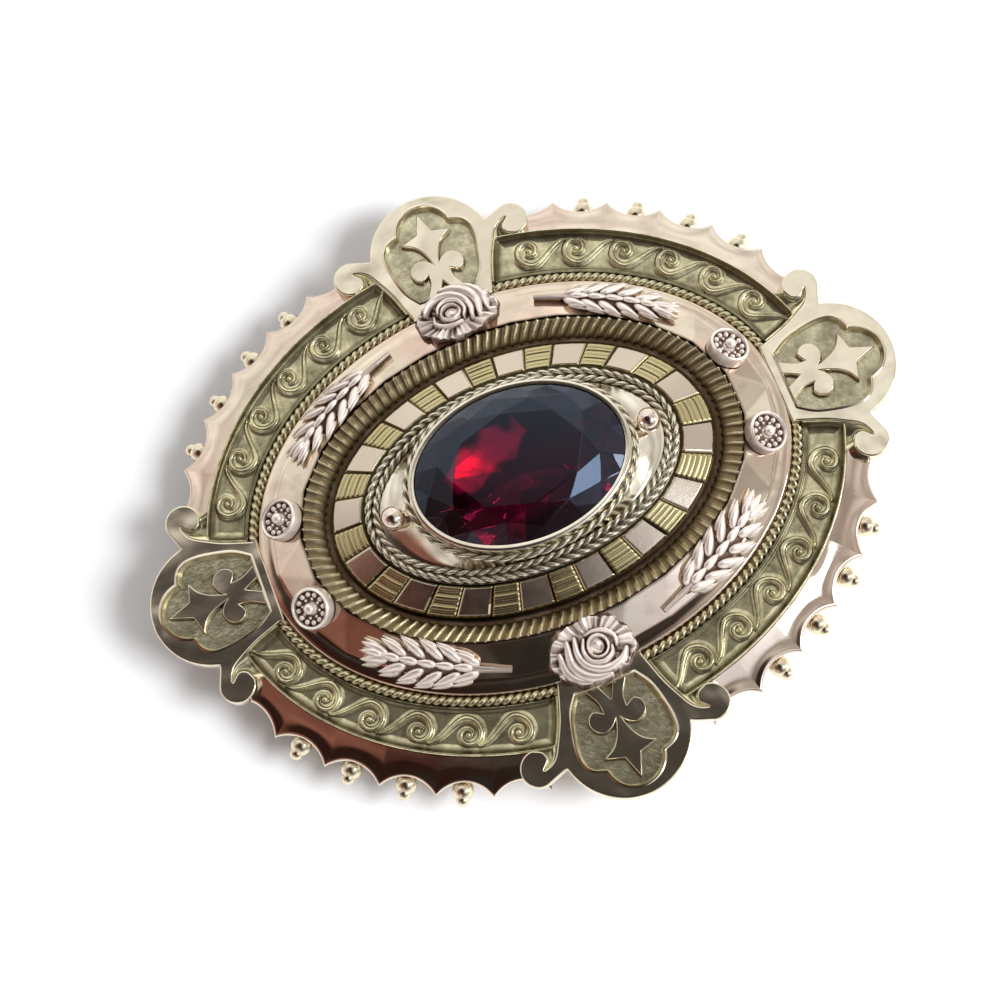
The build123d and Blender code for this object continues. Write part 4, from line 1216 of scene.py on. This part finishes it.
def crossing(oval, side, axis):
    """The turn, measured from the lobe's own axis, at which an oval crosses a lobe's side. It
    is found by halving the range in which the oval's across passes the side's."""
    along_half, across_half = oval if axis == 0 else oval[::-1]
    low, high = np.zeros(np.shape(along_half)), np.full(np.shape(along_half), 1.2)
    for _ in range(40):
        middle = (low + high) / 2
        along, across = along_half * np.cos(middle), across_half * np.sin(middle)
        inside = across < np.interp(along, side[:, 0], side[:, 1])
        low, high = np.where(inside, middle, low), np.where(inside, high, middle)
    return (low + high) / 2


def between_lobes(oval, sides):
    """The turns in the first quarter at which an oval crosses the right and the top lobe's
    side."""
    first, last = (crossing(oval, sides[axis], axis) for axis in (0, 1))
    return first, math.pi / 2 - last


def quarter_turn(sign, degrees=sector_middle):
    """An angle of the first quarter, for the quarter of sign, in radians."""
    turned = degrees if sign[0] > 0 else 180 - degrees
    return math.radians(turned if sign[1] > 0 else 360 - turned)


def scroll_spines(sign):
    """Points and half breadths of one channel's scrolls, and the middles of their curls: a
    rising tail, then an equiangular spiral, laid along the scroll line and always running
    clockwise."""
    tail_count, curl_count, curl_start, tail_share, tail_lap = 26, 90, -83, 0.62, 0.12
    share = np.linspace(0, 1, tail_count, endpoint=False)
    smooth = smoothstep(0, 1, share)
    tail_end = (scroll_pitch - scroll_radius * tail_share, scroll_radius * tail_share)
    tail = [
        tail_end[0] * (1 - share) + tail_lap * scroll_radius * share,
        tail_end[1] * (1 - smooth) - scroll_radius * smooth,
    ]
    ratio = math.log(scroll_end_radius / scroll_radius) / math.radians(scroll_turn)
    turn = np.radians(np.linspace(0, scroll_turn, curl_count))
    radius, heading = scroll_radius * np.exp(ratio * turn), math.radians(curl_start) - turn
    curl = [radius * np.cos(heading), radius * np.sin(heading)]
    spine = np.hstack([tail, curl])
    swell = np.concatenate([0.5 + 0.9 * share, 1.35 - 0.75 * np.linspace(0, 1, curl_count)])
    middle = distance_at(scroll_line, quarter_turn(sign))
    starts = middle + scroll_pitch * (np.arange(scroll_count) - (scroll_count - 1) / 2)
    turns = turns_at(scroll_line, starts[:, None] - spine[0])
    points = beside(scroll_line, turns, np.broadcast_to(spine[1], turns.shape))
    centres = oval_points(scroll_line, turns_at(scroll_line, starts))
    return points.reshape(-1, 2), np.tile(scroll_wire / 2 * swell, scroll_count), centres


def channel_heights(places, rim_distance, end_distance, rope_distance, spines):
    """Relief and polish of a channel. The height is the highest of the moulded wall, which
    falls with the distance from the rim and both ends, a low fillet beside the rope, the
    scrolls, as (1 - (distance / half breadth) squared) to the power 0.6 with a skirt round it,
    and a round boss in each curl. Crests and the lip are bright, the ground is duller, and it
    is darker down the wall and most of all in the corners by the rope, which is painted shade."""
    points, halves, centres = spines
    rib_height, rib_spread, skirt_height, skirt_spread = scroll_rise * 0.85, 1.5, 0.05, 1.9
    boss_height, fillet_height = 0.26, 0.14
    crest_polish, ground_polish = 0.72, 0.55
    distance = np.minimum(rim_distance, end_distance)
    inward, falls = np.array(channel_moulding).T
    moulding = rim_height + np.interp(distance, inward, falls)
    share = nearest(places, points, halves * rib_spread)
    rib = rib_height * np.clip(1 - share**2, 0, 1) ** 0.6
    skirt = skirt_height * np.clip(1 - (share / skirt_spread) ** 2, 0, 1)
    from_boss = nearest(places, centres) / boss_radius
    boss = boss_height * np.sqrt(np.clip(1 - from_boss**2, 0, 1))
    fillet = fillet_height * (1 - smoothstep(0.12, 0.3, rope_distance))
    raised = np.maximum(np.maximum(rib, skirt), np.maximum(boss, fillet))
    height = np.maximum(moulding, floor_height + raised)
    crest = smoothstep(0.1, 0.2, np.maximum(rib, boss))
    lip = 1 - smoothstep(0.06, 0.1, distance)
    # Painted shade: the ground darkens down the wall below the lip and in the corners by the rope
    wall = 1 - smoothstep(0.3, 0.6, distance)
    corner = 1 - smoothstep(0.25, 0.5, rope_distance)
    ground = ground_polish * (1 - 0.8 * wall) * (1 - 0.6 * corner)
    return height, np.maximum(np.maximum(crest_polish * crest, lip), ground)


def channel(name, sign):
    """One channel: rows along it end on the lobes' sides, columns go from rope to rim."""
    rows, columns, end_spacing = 380, 56, 0.03
    across = np.linspace(0, 1, columns)
    ovals = [inner + (outer - inner) * across for inner, outer in zip(channel_inner, rim_edge)]
    sides = [lobe_side_curve(axis) + (0, gap) for axis in (0, 1)]
    first, last = between_lobes(ovals, sides)
    turns = first + (last - first) * np.linspace(0, 1, rows)[:, None]
    places = oval_points(ovals, turns)
    widening = (rim_edge[0] - channel_inner[0], rim_edge[1] - channel_inner[1])
    breadth = (oval_points(widening, turns) * oval_normals(rim_edge, turns)).sum(-1)
    rim_distance, rope_distance = breadth * (1 - across), breadth * across
    ends = [evenly(side, end_spacing) for side in sides]
    end_distance = nearest(places, np.vstack([ends[0], ends[1][:, ::-1]]))
    signed, spines = places * sign, scroll_spines(sign)
    height, polish = channel_heights(signed, rim_distance, end_distance, rope_distance, spines)
    body = Body()
    body.slab(np.concatenate([signed, height[..., None]], -1), plate_height, polish)
    for axis in (0, 1):
        horn(body, sign, axis)
    body.piece(f"channel_relief_{name}", channel_gold, [f"channel_{name}"], sharp=65)


def horn(body, sign, axis):
    """The channel's horn: a tapering band between a lobe's side and the volute's eye, from the
    rim out to the tip. Across it runs a hollow, as a sine's half wave to the power 0.7, whose
    depth falls toward the tip."""
    count, root_depth, tip_depth, horn_hollow_shade = 60, 0.34, 0.03, 0.75
    rim_overlap, eye_gap, root_beside = 0.15, 0.02, 0.1
    side = lobe_side_curve(axis) + (0, gap)
    oval = rim_edge if axis == 0 else rim_edge[::-1]
    outside = ((side / (np.array(oval) - rim_overlap)) ** 2).sum(-1) > 1
    near = evenly(side[outside], 0.05)
    eye = eye_curve(axis)[::-1] - (eye_gap, gap)
    root_across = volute_half + root_beside
    root = (oval[0] * math.sqrt(1 - (root_across / oval[1]) ** 2), root_across)
    far = evenly(np.vstack([[root], eye[:-1], near[-1:]]), 0.05)
    near, far = resampled(near, count)[:, None], resampled(far, count)[:, None]
    share = np.linspace(0, 1, 17)[None, :, None]
    plan = near * (1 - share) + far * share
    hollow = np.sin(math.pi * np.clip(share[..., 0] * 1.3 - 0.15, 0, 1)) ** 0.7
    height = rim_height - hollow * np.linspace(root_depth, tip_depth, count)[:, None]
    # Painted shade: the hollow is darker, less so toward the tip
    bright = 1 - horn_hollow_shade * smoothstep(0.0, 0.5, hollow) * np.linspace(1, 0.2, count)[:, None]
    if axis == 1:
        plan = plan[..., ::-1]
    body.slab(np.concatenate([plan * sign, height[..., None]], -1), plate_height, bright)


def flange(name, sign):
    """A sloping band outside the rim with a scalloped edge: its breadth falls by the depth of
    a circular arc between cusps. The edge is rounded over and the underside comes back."""
    rows, dish_depth, end_lap, edge_shade_polish = 520, 0.07, 0.1, -0.2
    middle = distance_at(flange_tips, quarter_turn(sign))
    cusps = middle + cusp_pitch * (np.arange(cusp_count) - (cusp_count - 1) / 2)
    distances = np.linspace(cusps[0] - cusp_pitch, cusps[-1] + cusp_pitch, rows)
    turns = turns_at(flange_tips, distances)
    phase = (distances - cusps[0]) / cusp_pitch
    offset = phase - np.round(phase)
    radius = ((cusp_pitch / 2) ** 2 + scallop_depth**2) / (2 * scallop_depth)
    from_bottom = (0.5 - np.abs(offset)) * cusp_pitch
    depth = scallop_depth - (radius - np.sqrt(radius**2 - from_bottom**2))
    reach = (flange_breadth - depth - gap)[:, None]
    fall = flange_drop / flange_breadth
    profile = np.concatenate([[0, 0.035], np.linspace(0.1, 1, 11)])[None]
    shares = profile * (reach - end_lap)
    dish = dish_depth * np.sin(math.pi * profile) * (1 - smoothstep(0.85, 1.0, profile))
    top = np.stack([gap + shares, flange_inner_height - (fall * shares + dish)], -1)
    edge = np.array([(-0.06, -0.012), (-0.02, -0.05), (0.0, -0.12), (0.0, -0.2), (-0.04, -0.26)])
    rim_level = flange_inner_height - fall * reach
    rounding = np.stack([gap + reach + edge[:, 0], rim_level + edge[:, 1]], -1)
    under = np.broadcast_to((gap, flange_inner_height - flange_thickness), (rows, 1, 2))
    outline = np.concatenate([top, rounding, under], 1)
    plan = beside(rim_edge, turns[:, None] + 0 * outline[..., 0], outline[..., 0])
    # Painted shade: the row at the band's inner edge by the rim and the underside are darker than dull
    polish = np.ones(outline.shape[1])
    polish[[0, -1]] = edge_shade_polish
    body = Body()
    body.tube(np.concatenate([plan, outline[..., 1:]], -1), polish, 1.0)
    body.piece(f"flange_band_{name}", flange_gold, [f"flange_{name}"], sharp=50)


def outer_rope(name, sign):
    """The twisted wire's length beside one channel, from lobe to lobe."""
    lay, strand_depth, end_gap = 0.96, 0.45, 0.02
    turns = between_lobes(outer_rope_path, [lobe_side_curve(axis) for axis in (0, 1)])
    turns = (quarter_turn(sign, math.degrees(turn)) for turn in turns)
    first, last = sorted(distance_at(outer_rope_path, turn) for turn in turns)
    path = oval_path(outer_rope_path, 0.06, first + end_gap, last - end_gap)
    height = plate_height + outer_rope_wire / 2 + gap
    # bright is painted highlight on the strands' crests and painted shade between them
    points, bright = twisted(path, height, outer_rope_wire / 2, lay, strand_depth, 14)
    body = Body()
    body.tube(points, bright, 0.5)
    body.piece(f"twisted_wire_{name}", wire_gold, [f"outer_rope_{name}"], sharp=60)


# Ornaments


def rosette(name, sign):
    """A round box that leans with the dome: a rim, two rings of beads and a boss. Its up is the
    oval's normal tipped by the dome's slope."""
    middle_share = 0.5 + dome_band_breadth / dome_breadth / 2
    oval = grow(dome_edge, -dome_breadth * middle_share)
    turn = turns_at(oval, rosette_side)
    place, normal = oval_points(oval, turn), oval_normals(oval, turn)
    rise = dome_top_height - dome_band_top
    slope = math.atan2(rise, dome_breadth - dome_band_breadth)
    height = dome_band_top + rise / 2 + gap / math.cos(slope)
    up = np.append(normal * math.sin(slope) * sign, math.cos(slope))
    east = np.cross((0, 1, 0), up)
    east /= np.linalg.norm(east)
    floor_level, inner, top = rosette_height - 0.34, rosette_radius - 0.2, rosette_height + 0.02
    # Rows (radius, height, polish) of the box; the floor inside the rim is dark, painted shade
    box = np.array(
        [
            (0, 0, 0.5),
            (rosette_radius, 0, 0.5),
            (rosette_radius, top - 0.12, 0.8),
            (rosette_radius - 0.03, top - 0.04, 1.0),
            (rosette_radius - 0.1, top, 1.0),
            (inner + 0.03, top - 0.03, 1.0),
            (inner, top - 0.1, 0.6),
            (inner - 0.04, floor_level, 0.0),
            (0, floor_level, 0.0),
        ]
    )
    boss = [(0.4, 0.0), (0.36, 0.12), (0.3, 0.2), (0.33, 0.36), (0.28, 0.5), (0.16, 0.6), (0, 0.62)]
    bead_rings = ((12, inner - 0.2, 0.16, 0.5), (8, 0.55, 0.09, 0.25))
    body = Body()
    body.grid(lathe(box[:, :2], 56), (True, False), box[:, 2])
    body.grid(lathe(np.array(boss) + (0, floor_level), 28), (True, False), 1.0)
    for count, ring_radius, size, first in bead_rings:
        for index in range(count):
            angle = 2 * math.pi * (index + first) / count
            east_of, north_of = ring_radius * math.cos(angle), ring_radius * math.sin(angle)
            bead = ball((east_of, north_of, floor_level + 0.1), (size, size, size * 1.1), 12)
            body.grid(bead, (False, True), 1.0)
    body.place(np.stack([east, np.cross(up, east), up], -1), (*(place * sign), height))
    body.piece(f"rosette_box_{name}", red_gold, [f"rosette_{name}"], sharp=45)


def grain_shape(length, width, height):
    """A wheat grain along +X from 0: an oval section that swells with |sin| of the way along to
    the power 0.8 and narrows to a point at the far end, with a ridge along its top."""
    along = np.linspace(0, 1, 14)[:, None]
    angle = np.linspace(0, 2 * math.pi, 12, endpoint=False)[None]
    swell = np.sin(math.pi * along**0.75) ** 0.8 * (1 - 0.25 * along)
    ridge = 1 + 0.22 * np.maximum(0, np.sin(angle)) ** 6
    return np.stack(
        [
            length * along + 0 * angle,
            width / 2 * swell * np.cos(angle),
            height * 0.5 * (swell * np.sin(angle) * ridge + 0.8),
        ],
        -1,
    )


def ear_stem():
    """The stem along +X from 0: a tube whose half width grows evenly toward the grains."""
    overlap, height = 0.6, 0.2
    along = np.linspace(0, 1, 16)[:, None]
    angle = np.linspace(0, 2 * math.pi, 10, endpoint=False)[None]
    half = ear_stem_half * (0.6 + 0.35 * along)
    rise = height + height * np.sin(angle) + 0 * along
    return np.stack(
        [along * (ear_stem_length + overlap) + 0 * angle, half * np.cos(angle), rise], -1
    )


def ear_bed():
    """What the grains lie on: a strip along the ear, arched as a parabola across, whose half
    width is a sine of the way along."""
    tip_room, half_width, least_share, height = 0.4, 0.62, 0.12, 0.3
    along, across = np.linspace(0, 1, 40)[:, None], np.linspace(-1, 1, 9)[None]
    half = half_width * np.maximum(least_share, np.sin(math.pi * (0.1 + 0.86 * along)))
    reach = ear_stem_length + along * (ear_length - ear_stem_length - tip_room) + 0 * across
    return np.stack([reach, half * across, height * (1 - across**2) + 0 * along], -1)


def wheat_ear(name, sign):
    """An ear on the dome: pairs of grains that point forward and outward, with thinner ones
    beside them, a row down the middle, one at the tip, a stem, and a bed under them all, dark
    as painted shade between the grains."""
    start, end = (
        oval_points(grow(dome_edge, -dome_breadth * share), math.radians(angle))
        for angle, share in ((ear_stem_angle, 0.42), (ear_tip_angle, 0.52))
    )
    run = (end - start) / np.linalg.norm(end - start)
    pairs, tip_room, bow = 6, 0.9, 0.35
    grain_lean, awn_lean = 32, 18
    pitch = (ear_length - ear_stem_length - tip_room) / pairs

    def set_down(points, x=0.0, y=0.0, heading=0.0, lift=0.0):
        """Points turned to a heading at (x, y) of the ear, whose middle bows aside as half a
        sine wave, then laid on the dome by adding its height."""
        along = points[..., 0] * math.cos(heading) - points[..., 1] * math.sin(heading) + x
        across = points[..., 0] * math.sin(heading) + points[..., 1] * math.cos(heading) + y
        across = across - bow * np.sin(math.pi * np.clip(along / ear_length, 0, 1))
        plan = start + run * along[..., None] + np.array([-run[1], run[0]]) * -across[..., None]
        height = dome_height(plan) + gap + lift + points[..., 2]
        return np.concatenate([plan * sign, height[..., None]], -1)

    body = Body()
    grain, awn, middle_grain = (
        grain_shape(*sizes) for sizes in ((1.75, 0.6, 0.56), (1.3, 0.36, 0.4), (1.3, 0.5, 0.46))
    )
    for pair in range(pairs):
        fullness = math.sin(math.pi * (0.22 + 0.66 * pair / (pairs - 1)))
        x = ear_stem_length + pitch * (pair + 0.15)
        for side in (-1, 1):
            heading = side * math.radians(grain_lean * fullness)
            laid = set_down(grain, x, side * 0.3 * fullness, heading, 0.06)
            body.grid(laid, (False, True), 1.0)
            heading = side * math.radians(awn_lean)
            laid = set_down(awn, x + 0.35, side * 0.92 * fullness, heading)
            body.grid(laid, (False, True), 0.85)
        body.grid(set_down(middle_grain, x + pitch * 0.35, lift=0.3), (False, True), 1.0)
    tip_grain = grain_shape(1.5, 0.5, 0.55)
    body.grid(set_down(tip_grain, ear_length - 1.5, lift=0.05), (False, True), 1.0)
    body.tube(set_down(ear_stem()), 0.5, 0.5)
    # The bed is dark where it shows between the grains: painted shade
    body.grid(set_down(ear_bed()), (False, False), -0.2)
    body.piece(f"wheat_{name}", red_gold, [f"wheat_ear_{name}"], sharp=50)


def rose_field(places):
    """Height of the rose as a share, over places in shares of its half length and width: the
    highest at each place of a round bud, hollow with a heart and a curl in it, ruffled leaves,
    and rolled petals. A petal's share of its height is 0.62 + 0.38 (1 - away to the power 2.4)
    to the power 0.7, where away is the distance from its crest / half breadth, and it narrows
    toward its ends."""
    bud_height, hollow_depth = 1.06, 0.5
    heart_place, heart_radius, heart_height = (0.06, -0.05), 0.44, 0.36
    curl_radius, curl_breadth, curl_depth = 0.2, 0.06, 0.14
    plan = places * (rose_half_length, rose_half_width)
    from_bud = plan - rose_bud
    radius = np.linalg.norm(from_bud, axis=-1)
    turn = np.arctan2(from_bud[..., 1], from_bud[..., 0])
    edge = np.linalg.norm(places, axis=-1)
    ruffle = 0.13 * np.cos(7 * turn + 3.5 * edge + 1) + 0.07 * np.cos(26 * turn + 5 * edge)
    leaves = 0.4 + ruffle * smoothstep(0.4, 0.7, edge) - 0.14 * (edge - 0.5)
    leaves = leaves * (1 - smoothstep(0.93, 1.0, edge))
    bud = bud_height * np.clip(1 - (radius / rose_bud_radius) ** 6, 0, 1) ** 0.4
    hollow = 1 - smoothstep(0.4, 0.56, radius)
    from_heart = np.linalg.norm(from_bud - heart_place, axis=-1)
    heart = heart_height * np.sqrt(np.clip(1 - (from_heart / heart_radius) ** 2, 0, 1))
    ridge = np.exp(-(((radius - curl_radius) / curl_breadth) ** 2))
    curl = curl_depth * ridge * smoothstep(-1.2, 1.5, turn)
    height = np.maximum(leaves, bud - hollow * (hollow_depth - heart + curl))
    for crest, half, level in rose_petals:
        path = through(crest, 12)
        fullness = np.sin(math.pi * (0.06 + 0.88 * np.linspace(0, 1, len(path)))) ** 0.5
        away = nearest(plan, path, half * fullness)
        rolled = level * (0.62 + 0.38 * np.clip(1 - away**2.4, 0, 1) ** 0.7) * (away < 1)
        height = np.maximum(height, rolled)
    return height


def rose(name, side):
    """The rose as a fine grid: its relief over the dome and the lobe, with a steep border
    that follows a wavy oval outline. What stands above the mean of its surroundings is
    bright and what lies below it dark, as painted highlight and painted shade."""
    rings, rays = 84, 300
    top_share, tone, contrast = 0.92, 0.84, 5.0
    radius = np.linspace(0.0, 1.0, rings)[None] ** 0.8
    turn = np.linspace(0, 2 * math.pi, rays, endpoint=False)[:, None]
    edge = 0.96 + 0.035 * np.cos(11 * turn) + 0.025 * np.cos(4 * turn + 1)
    shares = np.stack([radius * edge * np.cos(turn), radius * edge * np.sin(turn)], -1)
    centre = (0, dome_edge[1] - rose_shift)
    plan = side * (shares * (rose_half_length, rose_half_width) + centre)
    relief = rose_field(shares)
    carrier = np.maximum(dome_height(plan), lobe_top + gap) + gap
    height = carrier + rose_height * top_share * np.maximum(relief, 0.0)
    top = np.concatenate([plan, height[..., None]], -1)
    foot = np.concatenate([plan[:, -1], (dome_height(plan[:, -1]) + gap)[:, None]], -1)
    # Painted highlight and shade: relief above the mean of its surroundings is bright, below it dark
    level = sum(np.roll(relief, k, 0) for k in range(-9, 10, 3)) / 7
    level = (level + np.roll(level, 4, 1) + np.roll(level, -4, 1)) / 3
    bright = np.clip(tone + contrast * (relief - level), 0, 1)
    bright = np.hstack([bright, bright[:, -1:]])
    body = Body()
    body.grid(np.concatenate([top, foot[:, None]], 1), (True, False), bright)
    body.cap([foot], 0.2)
    body.piece(f"rose_cast_{name}", red_gold, [f"rose_{name}"], sharp=75)


def dress_solids():
    """The solids that keep their own mesh get their metal, by the start of their names."""
    metals = {
        "granule_": granule_gold,
        "grain_": grain_gold,
        "gallery_rim": plate_gold,
        "back_plate": plate_gold,
        "brooch_pin": plate_gold,
    }
    for name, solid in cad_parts.items():
        for start, metal in metals.items():
            if name.startswith(start):
                solid.data.materials.clear()
                solid.data.materials.append(metal)


# Floor, light and camera


def floor():
    """A plain pale floor at the back rim's foot."""
    half = 600.0 * MILLIMETRE
    mesh = bpy.data.meshes.new("floor")
    corners = [(-half, -half, 0), (half, -half, 0), (half, half, 0), (-half, half, 0)]
    mesh.from_pydata(corners, [], [(0, 1, 2, 3)])
    shader = Shader(bpy.data.materials.new("floor_white"))
    shader.set(Base_Color=colour(0.94, 0.96, 0.985), Roughness=0.7)
    mesh.materials.append(shader.material)
    made = bpy.data.objects.new("floor", mesh)
    bpy.context.scene.collection.objects.link(made)


def lamp(name, place, size, power, tone):
    """A soft rectangular light aimed at the brooch."""
    light = bpy.data.lights.new(name, "AREA")
    light.shape = "RECTANGLE"
    light.size, light.size_y = size[0] * MILLIMETRE, size[1] * MILLIMETRE
    light.energy, light.color = power, tone
    made = bpy.data.objects.new(name, light)
    made.location = Vector(place) * MILLIMETRE
    made.rotation_euler = (-made.location).to_track_quat("-Z", "Y").to_euler()
    bpy.context.scene.collection.objects.link(made)
    return made


def room():
    """A pale room as the world: brightness by direction is a base, broken up by slow noise,
    that each soft spot adds to or takes a share of, as a smooth step of the angle to its own
    direction. The room's tone turns from warm to white with the brightness, and to its tint in
    a spot that has one."""
    base, least = 0.76, 0.03
    warm, white = colour(0.92, 0.8, 0.73), colour(0.98, 0.985, 0.97)
    world = bpy.data.worlds.new("pale_room")
    bpy.context.scene.world = world
    shader = Shader(world)
    direction = shader.direction()
    sockets = {"Vector": direction, "Scale": 3.4, "Detail": 1.5}
    noise = shader.add("ShaderNodeTexNoise", {}, sockets)
    light = (Value(shader, noise.outputs["Fac"]) - 0.5) * 1.3 + base
    tinted = []
    for way, outer, inner, amount, *tints in room_spots:
        sockets = {0: direction, 1: tuple(c / math.hypot(*way) for c in way)}
        spot = shader.add("ShaderNodeVectorMath", {"operation": "DOT_PRODUCT"}, sockets)
        cosine = Value(shader, spot.outputs["Value"])
        low, high = math.cos(math.radians(outer)), math.cos(math.radians(inner))
        share = ((cosine - low) * (1 / (high - low))).clipped()
        share = share * share * (3 - 2 * share)
        light = light + share * amount if amount > 0 else light * (1 + share * amount)
        tinted += [(share, tint) for tint in tints]
    light = light.math("MAXIMUM", least)
    tone = shader.mix(light.math("MINIMUM", 1.0), warm, white)
    for share, tint in tinted:
        tone = shader.mix(share, tone, tint)
    back = shader.add("ShaderNodeBackground", {}, {"Color": tone, "Strength": light})
    shader.add("ShaderNodeOutputWorld", {}, {"Surface": Value(shader, back.outputs[0])})


def studio():
    """The room, a key light for the floor and its shadow that no surface mirrors, a dim glint
    lamp, the pane that the stone mirrors, and the photograph's camera."""
    room()
    lights = {name: lamp(name, *settings) for name, settings in lamps.items()}
    lights["key"].visible_glossy = False
    bpy.context.scene.view_settings.view_transform = "Standard"
    camera = bpy.data.cameras.new("photograph")
    camera.lens, camera.sensor_width = camera_lens, sensor_width
    camera.clip_start, camera.clip_end = 0.001, 10.0
    made = bpy.data.objects.new("photograph", camera)
    made.location = Vector(camera_place) * MILLIMETRE
    made.rotation_euler = [math.radians(a) for a in camera_angles]
    bpy.context.scene.collection.objects.link(made)
    bpy.context.scene.camera = made


# The whole brooch, and what it is seen in

cut_stone()
bezel_and_cove()
ropes()
panel_fields()
milled()
dome()
for lobe_name, lobe_angle in lobe_angles.items():
    lobe(lobe_name, lobe_angle)
for quarter_name, quarter_sign in quarters.items():
    channel(quarter_name, quarter_sign)
for quarter_name, quarter_sign in quarters.items():
    flange(quarter_name, quarter_sign)
    outer_rope(quarter_name, quarter_sign)
for quarter_name, quarter_sign in quarters.items():
    rosette(quarter_name, quarter_sign)
    wheat_ear(quarter_name, quarter_sign)
rose("top", 1)
rose("bottom", -1)
dress_solids()
floor()
studio()
